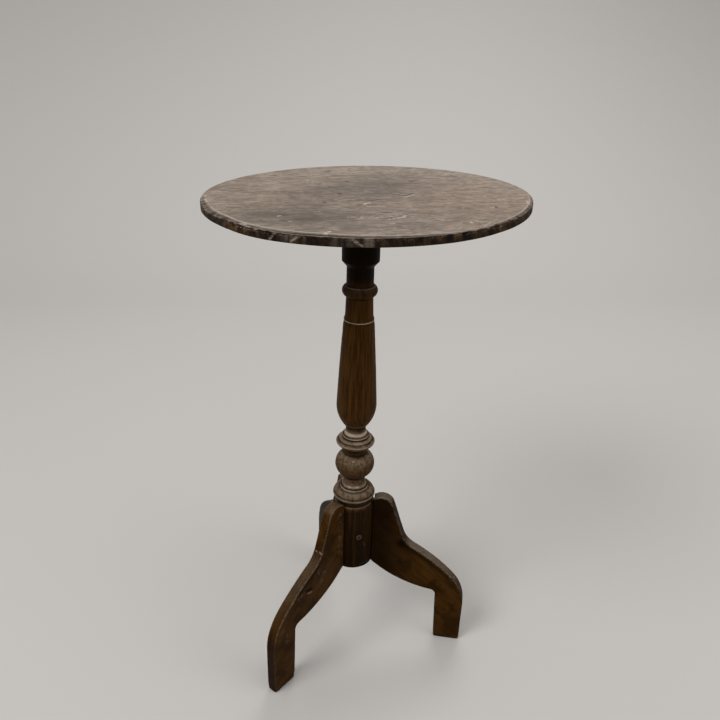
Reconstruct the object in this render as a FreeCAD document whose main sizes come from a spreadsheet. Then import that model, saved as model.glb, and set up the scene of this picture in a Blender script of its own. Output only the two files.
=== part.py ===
"""Round lamp table on a turned column with three sawn legs.

The round top is two boards, glued edge to edge and held flat by a cleat screwed on
from below. The column is one turned piece. Its tenon goes up through the cleat and is
wedged there. Three equal legs are tenoned into the hub at the foot of the column, and
each is locked by a peg that is driven through the hub from the far side.

Frame: +Z up, the floor at Z 0, the origin under the middle of the round top, and the
viewer of the photograph at -Y. The column leans a little to +X, as the old table does,
while the top and the soles of the feet are level.
"""
import FreeCAD, Part
import math
import os

import Sketcher
from FreeCAD import Placement, Rotation, Vector

# Driving dimensions in millimetres, and angles in degrees.
SIZES = [
    # The whole table
    ("table_height", 720.0),
    ("column_lean", 1.488),
    ("column_foot_left", 23.7),
    ("fit_clearance", 0.1),
    ("cut_overrun", 5.0),
    # Round top
    ("top_radius", 210.0),
    ("top_thickness", 10.5),
    ("joint_forward", 36.0),
    ("joint_gap", 0.2),
    ("rim_top_round", 2.0),
    ("rim_bottom_round", 1.2),
    ("bead_inset", 6.5),
    ("bead_width", 2.4),
    ("bead_depth", 0.7),
    # Cleat under the top
    ("cleat_thickness", 22.0),
    ("cleat_width", 66.0),
    ("cleat_length", 260.0),
    ("cleat_bevel_length", 34.0),
    ("cleat_end_thickness", 11.0),
    # Screws through the cleat
    ("screw_length", 27.0),
    ("screw_radius", 2.1),
    ("screw_head_radius", 4.4),
    ("screw_head_height", 2.6),
    ("screw_point_length", 7.0),
    ("screw_slot_width", 1.1),
    ("screw_slot_depth", 1.2),
    ("screw_inner_reach", 58.0),
    ("screw_outer_reach", 92.0),
    ("screw_stagger", 14.0),
    # Tenon and wedge at the top of the column
    ("tenon_radius", 14.0),
    ("tenon_end_gap", 0.3),
    ("wedge_depth", 14.0),
    ("wedge_thickness", 2.6),
    ("wedge_tip_thickness", 0.8),
    ("wedge_width", 22.0),
    ("wedge_end_gap", 0.8),
    # Column from the cap down to the bulb
    ("cap_radius", 25.5),
    ("cap_length", 54.0),
    ("cap_edge_drop", 1.5),
    ("cap_cove_drop", 6.0),
    ("upper_neck_radius", 18.75),
    ("upper_neck_length", 25.5),
    ("collar_radius", 24.5),
    ("collar_length", 16.0),
    ("upper_shaft_length", 28.0),
    ("upper_shaft_radius", 19.8),
    ("fillet_rise", 4.4),
    ("fillet_radius", 21.2),
    ("fillet_width", 1.8),
    ("shaft_start_drop", 6.4),
    ("shaft_start_radius", 22.0),
    ("bulb_radius", 29.3),
    ("bulb_length", 36.0),
    # Ring stack and ball
    ("lower_neck_radius", 14.9),
    ("lower_neck_length", 3.0),
    ("cove_length", 10.2),
    ("cove_radius", 18.6),
    ("bead_ring_radius", 19.9),
    ("bead_ring_length", 4.0),
    ("disc_radius", 28.9),
    ("disc_crest_radius", 26.2),
    ("disc_length", 12.8),
    ("ball_neck_radius", 17.7),
    ("ball_neck_length", 13.5),
    ("ball_radius", 29.5),
    ("ball_length", 38.8),
    ("base_neck_radius", 16.2),
    ("base_neck_length", 1.2),
    # Turned base of the column
    ("base_cove_length", 16.6),
    ("base_cove_radius", 20.0),
    ("base_bead_radius", 21.6),
    ("base_bead_length", 2.9),
    ("base_round_radius", 31.2),
    ("base_round_length", 8.9),
    ("base_ring_radius", 32.2),
    ("base_ring_length", 12.9),
    ("hub_groove_radius", 28.1),
    ("hub_groove_length", 1.4),
    ("hub_shoulder_length", 6.5),
    ("hub_radius", 32.3),
    ("hub_length", 105.5),
    ("hub_bottom_height", 144.0),
    ("hub_arris", 1.2),
    ("turned_groove_depth", 1.4),
    ("turned_groove_width", 0.8),
    # Legs
    ("leg_azimuth", -10.82),
    ("rear_leg_turn", -2.7),
    ("leg_reach", 182.3),
    ("leg_thickness", 17.1),
    ("leg_lobe_rise", 9.2),
    ("leg_arris", 1.2),
    ("leg_root_overlap", 3.0),
    ("leg_tenon_thickness", 12.0),
    ("leg_tenon_depth", 20.0),
    ("leg_tenon_shoulder", 8.0),
    # Pegs that lock the leg tenons
    ("peg_radius", 4.5),
    ("peg_proud", 0.5),
    ("peg_bite", 17.0),
    ("peg_height", 59.0),
    ("peg_spacing", 23.0),
]

# Corners of the leg's outline. The first number is a share of the reach from the hub's
# face to the toe, and the second is a share of the leg's height.
LOBE_START_SHARES = (0.004, 0.990)
LOBE_END_SHARES = (0.203, 0.958)
WAIST_SHARES = (0.318, 0.759)
SLOPE_START_SHARES = (0.435, 0.679)
SLOPE_END_SHARES = (0.850, 0.503)
TOE_TOP_SHARES = (1.0, 0.300)
TOE_SOLE_SHARE = 0.998
HEEL_SOLE_SHARE = 0.720
HEEL_TOP_SHARES = (0.698, 0.345)
UNDERSIDE_END_SHARES = (0.644, 0.385)

# Slope of the underside where it enters the hub.
ROOT_SLOPE_SHARE = 0.8

# How far each curve of the leg bulges, as a share of its chord. All but the first are
# then made tangent to the curve before them.
UNDERSIDE_BULGE_SHARE = 0.077
HEEL_BULGE_SHARE = -0.200
KNEE_BULGE_SHARE = 0.099
SLOPE_BULGE_SHARE = 0.023
NOTCH_BULGE_SHARE = -0.130
LOBE_BULGE_SHARE = 0.245

# How far each turned curve bulges, as a share of its chord.
SHAFT_BULGE_SHARE = 0.003
BULB_BULGE_SHARE = 0.096
COVE_BULGE_SHARE = -0.085
DISC_TOP_BULGE_SHARE = 0.05
BASE_COVE_BULGE_SHARE = -0.070
BASE_ROUND_BULGE_SHARE = 0.150
SHOULDER_BULGE_SHARE = 0.140

# Corners of the disc and of the base ring, from below. The first number is a share of the
# moulding's radius, and the second is a share of its length.
DISC_SHARES = ((0.880, 0.08), (0.980, 0.28), (1.0, 0.48))
DISC_CREST_SHARE = 0.79
RING_SHARES = ((0.975, 0.57), (1.0, 0.80), (1.0, 0.93), (0.912, 1.0))

# The quirk under the fillet line, as shares of the fillet's radius and width.
FILLET_QUIRK_SHARES = (0.985, 0.2)

# Order of the legs' pegs up the hub, counted from the middle one.
PEG_ORDER = (-1, 0, 1)

LEG_NAMES = ("leg_right", "leg_rear", "leg_left")
REAR_LEG = LEG_NAMES.index("leg_rear")
LEG_COUNT = len(LEG_NAMES)
FULL_TURN = 360.0
ZERO = "0"


def size(alias):
    """Reference to one cell, for use in an expression."""
    return "Sizes." + alias


def times(expression, factor):
    return "(" + expression + ") * " + repr(factor)


def plus(*expressions):
    return "(" + " + ".join(expressions) + ")"


def minus(first, second):
    return "(" + first + " - (" + second + "))"


def make_sheet(doc):
    sheet = doc.addObject("Spreadsheet::Sheet", "Sizes")
    for row, (alias, value) in enumerate(SIZES, start=1):
        cell = "B" + str(row)
        sheet.set("A" + str(row), alias)
        sheet.set(cell, str(value))
        sheet.setAlias(cell, alias)
    doc.recompute()
    return sheet


def number(doc, expression):
    """Present value of an expression of named sizes."""
    result = doc.getObject("Sizes").evalExpression(expression)
    return float(getattr(result, "Value", result))


def origin_feature(body, role):
    for feature in body.Origin.OriginFeatures:
        if feature.Role == role:
            return feature
    raise ValueError(role)


def lean_with_column(body):
    """Stand a body on the column's leaning axis."""
    body.Placement = Placement(Vector(-1, 0, 0), Rotation(Vector(0, 1, 0), 1))
    body.setExpression("Placement.Base.x", "-" + size("column_foot_left"))
    body.setExpression("Placement.Rotation.Angle", size("column_lean"))


def add_sketch(body, name, role, azimuth=None):
    """Sketch on an origin plane, turned about the vertical axis if an azimuth is given."""
    sketch = body.newObject("Sketcher::SketchObject", name)
    sketch.AttachmentSupport = [(origin_feature(body, role), "")]
    sketch.MapMode = "FlatFace"
    if azimuth is not None:
        sketch.AttachmentOffset = Placement(Vector(0, 0, 0), Rotation(Vector(0, 1, 0), 1))
        sketch.setExpression("AttachmentOffset.Rotation.Angle", azimuth)
    return sketch


def bind(sketch, kind, geometry, point, expression):
    """Hold one coordinate of a sketch point to an expression."""
    value = number(sketch.Document, expression)
    if kind == "Radius":
        constraint = Sketcher.Constraint(kind, geometry, value)
    else:
        constraint = Sketcher.Constraint(kind, -1, 1, geometry, point, value)
    index = sketch.addConstraint(constraint)
    sketch.setExpression("Constraints[" + str(index) + "]", expression)


def bind_point(sketch, geometry, point, place):
    bind(sketch, "DistanceX", geometry, point, place[0])
    bind(sketch, "DistanceY", geometry, point, place[1])


def line_to(end, smooth=False):
    """Straight step of an outline, tangent to the arc before it if smooth."""
    return {"end": end, "through": None, "radius": None, "smooth": smooth}


def arc_to(start, end, share, smooth=False):
    """Arc that bulges by a share of its chord, or is tangent to the curve before it."""
    across = minus(end[0], start[0])
    along = minus(end[1], start[1])
    middle = [times(plus(start[i], end[i]), 0.5) for i in (0, 1)]
    through = (plus(middle[0], times(along, share)), minus(middle[1], times(across, share)))
    chord = "sqrt(" + across + " ^ 2 + " + along + " ^ 2)"
    radius = times(chord, (1 + 4 * share ** 2) / (8 * abs(share)))
    return {"end": end, "through": through, "radius": radius, "smooth": smooth}


def crown_arc(start, end, crown):
    """Arc of a turned swelling that reaches a crown radius between two necks."""
    rise = minus(crown, times(plus(start[0], end[0]), 0.5))
    length = minus(end[1], start[1])
    through = (crown, times(plus(start[1], end[1]), 0.5))
    squares = plus(times(length + " ^ 2", 0.25), rise + " ^ 2")
    return {"end": end, "through": through, "radius": squares + " / (2 * " + rise + ")", "smooth": False}


def draw_outline(sketch, start, steps):
    """Closed outline of lines and arcs, each corner bound to named sizes."""
    doc = sketch.Document

    def vector(place):
        return Vector(number(doc, place[0]), number(doc, place[1]), 0)

    here = start
    first = None
    previous = None
    steps = list(steps) + [line_to(start)]
    for index, step in enumerate(steps):
        end = step["end"]
        is_line = step["through"] is None
        if is_line:
            curve = sketch.addGeometry(Part.LineSegment(vector(here), vector(end)), False)
        else:
            shape = Part.Arc(vector(here), vector(step["through"]), vector(end))
            curve = sketch.addGeometry(shape, False)
        begins_here = sketch.getPoint(curve, 1).distanceToPoint(vector(here))
        ends_here = sketch.getPoint(curve, 2).distanceToPoint(vector(here))
        begin_point, end_point = (1, 2) if begins_here < ends_here else (2, 1)
        if not is_line and not step["smooth"]:
            bind(sketch, "Radius", curve, 0, step["radius"])
        if previous is None:
            first = (curve, begin_point)
            bind_point(sketch, curve, begin_point, start)
        else:
            kind = "Tangent" if step["smooth"] else "Coincident"
            link = Sketcher.Constraint(kind, previous[0], previous[1], curve, begin_point)
            sketch.addConstraint(link)
        if index == len(steps) - 1:
            close = Sketcher.Constraint("Coincident", curve, end_point, first[0], first[1])
            sketch.addConstraint(close)
        else:
            following = steps[index + 1]
            if following["smooth"] and following["through"] is None:
                bind(sketch, "DistanceY", curve, end_point, end[1])
            else:
                bind_point(sketch, curve, end_point, end)
        previous = (curve, end_point)
        here = end


def draw_circle(sketch, radius, height=None):
    """Circle on the sketch's vertical axis, at a height or on the origin."""
    value = number(sketch.Document, radius)
    up = 0 if height is None else number(sketch.Document, height)
    circle = Part.Circle(Vector(0, up, 0), Vector(0, 0, 1), value)
    index = sketch.addGeometry(circle, False)
    bind(sketch, "Radius", index, 0, radius)
    if height is None:
        sketch.addConstraint(Sketcher.Constraint("Coincident", index, 3, -1, 1))
    else:
        sketch.addConstraint(Sketcher.Constraint("PointOnObject", index, 3, -2))
        bind(sketch, "DistanceY", index, 3, height)


def extrude(body, kind, sketch, length, symmetric=True, second=None, reverse=False):
    """Pad or pocket of a sketch, to both sides alike, to two sides or to one side."""
    feature = body.newObject("PartDesign::" + kind, sketch.Label + "_" + kind.lower())
    feature.Profile = sketch
    feature.setExpression("Length", length)
    if second is not None:
        feature.SideType = "Two sides"
        feature.setExpression("Length2", second)
    elif symmetric:
        feature.SideType = "Symmetric"
    feature.Reversed = reverse
    return feature


def revolve(body, kind, sketch):
    feature = body.newObject("PartDesign::" + kind, sketch.Label + "_" + kind.lower())
    feature.Profile = sketch
    feature.ReferenceAxis = (sketch, ["V_Axis"])
    feature.Angle = FULL_TURN
    return feature


def round_edges(body, feature, kind, names, amount):
    """Round or bevel the named edges of a body's last feature."""
    body.Document.recompute()
    edges = ["Edge" + str(i + 1) for i, edge in enumerate(feature.Shape.Edges) if names(edge)]
    finish = body.newObject("PartDesign::" + kind, feature.Label + "_" + kind.lower())
    finish.Base = (feature, edges)
    finish.setExpression("Radius" if kind == "Fillet" else "Size", amount)
    return finish


def through_cut(alias):
    """Length of a cut through both sides of a round piece."""
    return times(plus(size(alias), size("cut_overrun")), 2)


def top_bottom():
    """Height of the top's underside over the floor."""
    return minus(size("table_height"), size("top_thickness"))


def cleat_bottom():
    """Height of the cleat's underside over the floor."""
    return minus(top_bottom(), size("cleat_thickness"))


def along_axis(level):
    """Length along the column's leaning axis that reaches a height over the floor."""
    return "(" + level + " / cos(" + size("column_lean") + "))"


def top_board(doc, name, front):
    """One board of the round top: the part of a disc on one side of the glue joint."""
    body = doc.addObject("PartDesign::Body", name)
    body.setExpression("Placement.Base.z", top_bottom())
    half_gap = times(size("joint_gap"), 0.5)
    side = 1 if front else -1
    chord = plus("-" + size("joint_forward"), times(half_gap, -side))
    radius = size("top_radius")
    half_chord = "sqrt(" + radius + " ^ 2 - (" + chord + ") ^ 2)"
    left = (times(half_chord, -1), chord)
    right = (half_chord, chord)
    far = (ZERO, times(radius, -side))

    sketch = add_sketch(body, name + "_outline", "XY_Plane")
    rim = {"end": left, "through": far, "radius": radius, "smooth": False}
    draw_outline(sketch, right, [rim])
    pad = extrude(body, "Pad", sketch, size("top_thickness"), symmetric=False)

    bead = add_sketch(body, name + "_bead", "XZ_Plane")
    bead_middle = minus(radius, size("bead_inset"))
    half_bead = times(size("bead_width"), 0.5)
    face = size("top_thickness")
    above = plus(face, size("bead_depth"))
    bead_outer = plus(bead_middle, half_bead)
    bead_inner = minus(bead_middle, half_bead)
    draw_outline(bead, (bead_middle, minus(face, size("bead_depth"))), [
        line_to((bead_outer, face)),
        line_to((bead_outer, above)),
        line_to((bead_inner, above)),
        line_to((bead_inner, face)),
    ])
    doc.recompute()

    def rim_at(level):
        def test(edge):
            round_edge = isinstance(edge.Curve, Part.Circle)
            return round_edge and abs(edge.CenterOfMass.z - level) < number(doc, size("fit_clearance"))
        return test

    upper = round_edges(body, pad, "Fillet", rim_at(number(doc, face)), size("rim_top_round"))
    round_edges(body, upper, "Fillet", rim_at(0), size("rim_bottom_round"))
    revolve(body, "Groove", bead)
    drill_board(body, front)
    return body


def drill_board(body, front):
    """Blind screw holes in a board's underside."""
    for reach, place in screw_places(front):
        sketch = add_sketch(body, body.Name + "_" + reach + "_hole", "XY_Plane")
        radius = plus(size("screw_radius"), size("fit_clearance"))
        value = number(body.Document, radius)
        spot = Vector(number(body.Document, place[0]), number(body.Document, place[1]), 0)
        index = sketch.addGeometry(Part.Circle(spot, Vector(0, 0, 1), value), False)
        bind(sketch, "Radius", index, 0, radius)
        bind_point(sketch, index, 3, place)
        depth = plus(screw_bite(), size("fit_clearance"))
        extrude(body, "Pocket", sketch, depth, symmetric=False, reverse=True)


def screw_bite():
    """How far a screw reaches into the top."""
    return minus(size("screw_length"), size("cleat_thickness"))


def column_axis_x(level):
    """Where the column's axis is, seen from above, at one height over the floor."""
    return minus("(" + level + ") * tan(" + size("column_lean") + ")", size("column_foot_left"))


def cleat_middle_x():
    half = times(size("cleat_thickness"), 0.5)
    return column_axis_x(minus(top_bottom(), half))


def screw_places(front):
    """Names and places of the screws that enter one board."""
    side = -1 if front else 1
    places = []
    for reach, stagger in (("inner", 1), ("outer", -1)):
        across = plus(cleat_middle_x(), times(size("screw_stagger"), stagger * side))
        along = times(size("screw_" + reach + "_reach"), side)
        places.append((reach, (across, along)))
    return places


def cleat(doc):
    """Cleat under the top, across the boards, with bevelled ends and a leaning bore."""
    body = doc.addObject("PartDesign::Body", "cleat_blank")
    body.setExpression("Placement.Base.x", cleat_middle_x())
    body.setExpression("Placement.Base.z", top_bottom())
    half = times(size("cleat_length"), 0.5)
    flat = minus(half, size("cleat_bevel_length"))
    base = "-" + size("cleat_thickness")
    end = "-" + size("cleat_end_thickness")
    outline = add_sketch(body, "cleat_side", "YZ_Plane")
    draw_outline(outline, (times(half, -1), ZERO), [
        line_to((times(half, -1), end)),
        line_to((times(flat, -1), base)),
        line_to((flat, base)),
        line_to((half, end)),
        line_to((half, ZERO)),
    ])
    extrude(body, "Pad", outline, size("cleat_width"))
    for front in (True, False):
        for reach, place in screw_places(front):
            countersunk_hole(body, reach, front, place)

    bore = doc.addObject("Part::Cylinder", "cleat_bore")
    bore.setExpression("Radius", plus(size("tenon_radius"), size("fit_clearance")))
    bore.setExpression("Height", size("table_height"))
    lean_with_column(bore)
    return cut(doc, "cleat", body, bore)


def countersunk_hole(body, reach, front, place):
    """Clearance hole with a countersink, turned out of the cleat from below."""
    name = "cleat_" + reach + ("_front" if front else "_rear")
    across = minus(place[0], cleat_middle_x())
    sketch = add_sketch(body, name, "XZ_Plane")
    sketch.setExpression("AttachmentOffset.Base.x", across)
    sketch.setExpression("AttachmentOffset.Base.z", times(place[1], -1))
    gap = size("fit_clearance")
    wide = plus(size("screw_head_radius"), gap)
    thin = plus(size("screw_radius"), gap)
    base = "-" + size("cleat_thickness")
    overrun = size("cut_overrun")
    draw_outline(sketch, (ZERO, minus(base, overrun)), [
        line_to((wide, minus(base, overrun))),
        line_to((wide, base)),
        line_to((thin, plus(base, size("screw_head_height")))),
        line_to((thin, overrun)),
        line_to((ZERO, overrun)),
    ])
    revolve(body, "Groove", sketch)


def screw(doc, reach, front, place):
    """Slotted countersunk wood screw, driven upwards, with its head flush in the cleat."""
    name = "screw_" + reach + ("_front" if front else "_rear")
    body = doc.addObject("PartDesign::Body", name)
    body.setExpression("Placement.Base.x", place[0])
    body.setExpression("Placement.Base.y", place[1])
    body.setExpression("Placement.Base.z", cleat_bottom())
    tip = size("screw_length")
    sketch = add_sketch(body, name + "_turning", "XZ_Plane")
    draw_outline(sketch, (ZERO, ZERO), [
        line_to((size("screw_head_radius"), ZERO)),
        line_to((size("screw_radius"), size("screw_head_height"))),
        line_to((size("screw_radius"), minus(tip, size("screw_point_length")))),
        line_to((ZERO, tip)),
    ])
    revolve(body, "Revolution", sketch)
    slot = add_sketch(body, name + "_slot", "XZ_Plane")
    half = times(size("screw_slot_width"), 0.5)
    draw_outline(slot, (times(half, -1), "-" + size("cut_overrun")), [
        line_to((half, "-" + size("cut_overrun"))),
        line_to((half, size("screw_slot_depth"))),
        line_to((times(half, -1), size("screw_slot_depth"))),
    ])
    extrude(body, "Pocket", slot, through_cut("screw_head_radius"))
    return body


def cut(doc, name, base, tool):
    result = doc.addObject("Part::Cut", name)
    result.Base = base
    result.Tool = tool
    return result


def column_outline():
    """Half outline of the turned column, up its axis side and down its outer side."""
    groove = size("turned_groove_width")
    half_depth = times(size("turned_groove_depth"), 0.5)

    # Levels from the hub up to the bulb
    hub_bottom = size("hub_bottom_height")
    shoulder = plus(hub_bottom, size("hub_length"))
    shoulder_top = plus(shoulder, size("hub_shoulder_length"))
    ring_bottom = plus(shoulder_top, size("hub_groove_length"))
    ring_top = plus(ring_bottom, size("base_ring_length"))
    round_bottom = plus(ring_top, groove)
    round_top = plus(ring_top, size("base_round_length"))
    bead_bottom = round_top
    bead_top = plus(bead_bottom, size("base_bead_length"))
    cove_bottom = plus(bead_top, groove)
    cove_top = plus(cove_bottom, size("base_cove_length"))
    ball_bottom = plus(cove_top, size("base_neck_length"))
    ball_top = plus(ball_bottom, size("ball_length"))
    disc_bottom = plus(ball_top, size("ball_neck_length"))
    disc_top = plus(disc_bottom, size("disc_length"))
    small_bead_bottom = plus(disc_top, groove)
    small_bead_top = plus(small_bead_bottom, size("bead_ring_length"))
    flare_bottom = plus(small_bead_top, groove)
    flare_top = plus(flare_bottom, size("cove_length"))
    bulb_bottom = plus(flare_top, size("lower_neck_length"))
    bulb_middle = plus(bulb_bottom, size("bulb_length"))

    # Levels from the cleat down to the shaft
    seat = along_axis(cleat_bottom())
    cap_top = plus(seat, size("cut_overrun"))
    cap_bottom = minus(seat, size("cap_length"))
    cap_edge = minus(cap_bottom, size("cap_edge_drop"))
    neck_top = minus(cap_edge, size("cap_cove_drop"))
    collar_top = minus(neck_top, size("upper_neck_length"))
    collar_bottom = minus(collar_top, size("collar_length"))
    upper_end = minus(collar_bottom, size("upper_shaft_length"))
    fillet_top = minus(upper_end, size("fillet_rise"))
    fillet_bottom = minus(fillet_top, size("fillet_width"))
    shaft_top = minus(fillet_bottom, size("shaft_start_drop"))
    tenon_top = plus(seat, plus(size("cleat_thickness"), size("cut_overrun")))

    start = (ZERO, hub_bottom)
    steps = []

    def line(radius, level):
        steps.append(line_to((radius, level)))

    def arc(radius, level, share):
        steps.append(arc_to(steps[-1]["end"], (radius, level), share))

    def swelling(radius, level, crown):
        steps.append(crown_arc(steps[-1]["end"], (radius, level), crown))

    def corners(radius, bottom, length, shares):
        for radius_share, level_share in shares:
            line(times(radius, radius_share), plus(bottom, times(length, level_share)))

    hub = size("hub_radius")
    line(minus(hub, size("hub_arris")), hub_bottom)
    line(hub, plus(hub_bottom, size("hub_arris")))
    line(hub, shoulder)
    arc(size("hub_groove_radius"), shoulder_top, SHOULDER_BULGE_SHARE)
    line(size("hub_groove_radius"), ring_bottom)
    corners(size("base_ring_radius"), ring_bottom, size("base_ring_length"), RING_SHARES)
    line(size("base_round_radius"), round_bottom)
    arc(plus(size("base_bead_radius"), half_depth), round_top, BASE_ROUND_BULGE_SHARE)
    line(size("base_bead_radius"), bead_bottom)
    line(size("base_bead_radius"), bead_top)
    line(minus(size("base_cove_radius"), half_depth), cove_bottom)
    arc(size("base_neck_radius"), cove_top, BASE_COVE_BULGE_SHARE)
    line(size("base_neck_radius"), ball_bottom)
    swelling(size("ball_neck_radius"), ball_top, size("ball_radius"))
    line(size("ball_neck_radius"), disc_bottom)
    corners(size("disc_radius"), disc_bottom, size("disc_length"), DISC_SHARES)
    line(size("disc_crest_radius"), plus(disc_bottom, times(size("disc_length"), DISC_CREST_SHARE)))
    small_bead = size("bead_ring_radius")
    arc(plus(small_bead, half_depth), disc_top, DISC_TOP_BULGE_SHARE)
    line(minus(small_bead, half_depth), small_bead_bottom)
    line(small_bead, small_bead_top)
    line(minus(size("cove_radius"), half_depth), flare_bottom)
    arc(size("lower_neck_radius"), flare_top, COVE_BULGE_SHARE)
    line(size("lower_neck_radius"), bulb_bottom)
    arc(size("bulb_radius"), bulb_middle, BULB_BULGE_SHARE)
    arc(size("shaft_start_radius"), shaft_top, SHAFT_BULGE_SHARE)
    quirk_share, edge_share = FILLET_QUIRK_SHARES
    line(times(size("fillet_radius"), quirk_share), fillet_bottom)
    line(size("fillet_radius"), plus(fillet_bottom, times(size("fillet_width"), edge_share)))
    line(size("fillet_radius"), fillet_top)
    line(size("upper_shaft_radius"), upper_end)
    line(size("upper_neck_radius"), collar_bottom)
    swelling(size("upper_neck_radius"), collar_top, size("collar_radius"))
    line(size("upper_neck_radius"), neck_top)
    line(minus(size("cap_radius"), size("cap_edge_drop")), cap_edge)
    line(size("cap_radius"), cap_bottom)
    line(size("cap_radius"), cap_top)
    line(size("tenon_radius"), cap_top)
    line(size("tenon_radius"), tenon_top)
    line(ZERO, tenon_top)
    return start, steps


def leg_azimuth(index):
    """The legs share the circle evenly, but for the small turn of the rear one."""
    even = plus(size("leg_azimuth"), repr(FULL_TURN / LEG_COUNT * index))
    return plus(even, size("rear_leg_turn")) if index == REAR_LEG else even


def leg_root_top():
    """Height of the hub's top, where the legs' lobes begin."""
    return plus(size("hub_bottom_height"), plus(size("hub_length"), size("hub_shoulder_length")))


def leg_height():
    return plus(leg_root_top(), size("leg_lobe_rise"))


def tenon_levels():
    """Lowest and highest level of the leg tenons."""
    low = plus(size("hub_bottom_height"), size("leg_tenon_shoulder"))
    high = minus(plus(size("hub_bottom_height"), size("hub_length")), size("leg_tenon_shoulder"))
    return low, high


def tenon_inner_radius():
    return minus(size("hub_radius"), size("leg_tenon_depth"))


def peg_level(index):
    """Pegs cross the column's axis, so each has its own height."""
    middle = plus(size("hub_bottom_height"), size("peg_height"))
    return plus(middle, times(size("peg_spacing"), PEG_ORDER[index]))


def draw_tenon(sketch, outer, gap):
    low, high = tenon_levels()
    inner = minus(tenon_inner_radius(), gap)
    low = minus(low, gap)
    high = plus(high, gap)
    corners = [(outer, low), (outer, high), (inner, high)]
    draw_outline(sketch, (inner, low), [line_to(corner) for corner in corners])


def column(doc):
    """Turned column with its leg mortises, peg holes and wedge kerf."""
    body = doc.addObject("PartDesign::Body", "column_blank")
    lean_with_column(body)
    turning = add_sketch(body, "column_turning", "XZ_Plane")
    draw_outline(turning, *column_outline())
    revolve(body, "Revolution", turning)

    width = plus(size("leg_tenon_thickness"), times(size("fit_clearance"), 2))
    for index, leg in enumerate(LEG_NAMES):
        mortise = add_sketch(body, leg + "_mortise", "XZ_Plane", leg_azimuth(index))
        draw_tenon(mortise, plus(size("hub_radius"), size("cut_overrun")), size("fit_clearance"))
        extrude(body, "Pocket", mortise, width)
        hole = add_sketch(body, leg + "_peg_hole", "YZ_Plane", leg_azimuth(index))
        draw_circle(hole, plus(size("peg_radius"), size("fit_clearance")), peg_level(index))
        outward = plus(size("hub_radius"), size("cut_overrun"))
        extrude(body, "Pocket", hole, outward, second=tenon_inner_radius())

    kerf = add_sketch(body, "wedge_kerf", "YZ_Plane")
    draw_wedge(kerf, size("cut_overrun"), times(size("fit_clearance"), 0.5))
    extrude(body, "Pocket", kerf, through_cut("tenon_radius"))
    doc.recompute()

    shoulder = cut(doc, "cap_waste", cap_slab(doc), tenon_core(doc))
    seated = cut(doc, "column_seated", body, shoulder)
    return cut(doc, "column", seated, tenon_end_slab(doc))


def slab(doc, name, level, height):
    """Wide flat block that stands over one level, for trimming the column."""
    block = doc.addObject("Part::Box", name)
    wide = through_cut("cap_radius")
    block.setExpression("Length", wide)
    block.setExpression("Width", wide)
    block.setExpression("Height", height)
    block.setExpression("Placement.Base.x", minus(column_axis_x(level), times(wide, 0.5)))
    block.setExpression("Placement.Base.y", times(wide, -0.5))
    block.setExpression("Placement.Base.z", level)
    return block


def cap_slab(doc):
    return slab(doc, "cap_slab", cleat_bottom(), size("cleat_thickness"))


def tenon_end_slab(doc):
    """Everything over the tenon's end, which stops a little below the top."""
    waste = plus(times(size("cut_overrun"), 2), size("tenon_end_gap"))
    return slab(doc, "tenon_end_slab", minus(top_bottom(), size("tenon_end_gap")), waste)


def tenon_core(doc):
    core = doc.addObject("Part::Cylinder", "tenon_core")
    core.setExpression("Radius", size("tenon_radius"))
    core.setExpression("Height", plus(size("table_height"), size("cut_overrun")))
    lean_with_column(core)
    return core


def draw_wedge(sketch, rise, gap):
    """Tapered outline of the wedge, seen from the side, or of its kerf with a gap."""
    tenon_end = along_axis(minus(top_bottom(), size("tenon_end_gap")))
    end = minus(tenon_end, size("wedge_end_gap"))
    tip = minus(minus(end, size("wedge_depth")), gap)
    thick = plus(times(size("wedge_thickness"), 0.5), gap)
    thin = plus(times(size("wedge_tip_thickness"), 0.5), gap)
    corners = [(thin, tip), (thick, end)]
    if rise:
        corners += [(thick, plus(end, rise)), (times(thick, -1), plus(end, rise))]
    corners += [(times(thick, -1), end)]
    draw_outline(sketch, (times(thin, -1), tip), [line_to(corner) for corner in corners])


def tenon_wedge(doc):
    """Wedge that spreads the column's tenon in the cleat."""
    body = doc.addObject("PartDesign::Body", "tenon_wedge")
    lean_with_column(body)
    sketch = add_sketch(body, "wedge_side", "YZ_Plane")
    draw_wedge(sketch, None, ZERO)
    extrude(body, "Pad", sketch, size("wedge_width"))
    return body


def leg_corner(shares):
    """Corner of the leg's outline from its two shares."""
    span = minus(size("leg_reach"), size("hub_radius"))
    return (plus(size("hub_radius"), times(span, shares[0])), times(leg_height(), shares[1]))


def sole_drop():
    """How far the legs are first made too long, so that every leaning sole can be levelled."""
    lean = size("leg_reach") + " * tan(" + size("column_lean") + ")"
    return plus(lean, size("cut_overrun"))


def leg_sole_corner(share):
    return (leg_corner((share, 0))[0], "-" + sole_drop())


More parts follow.
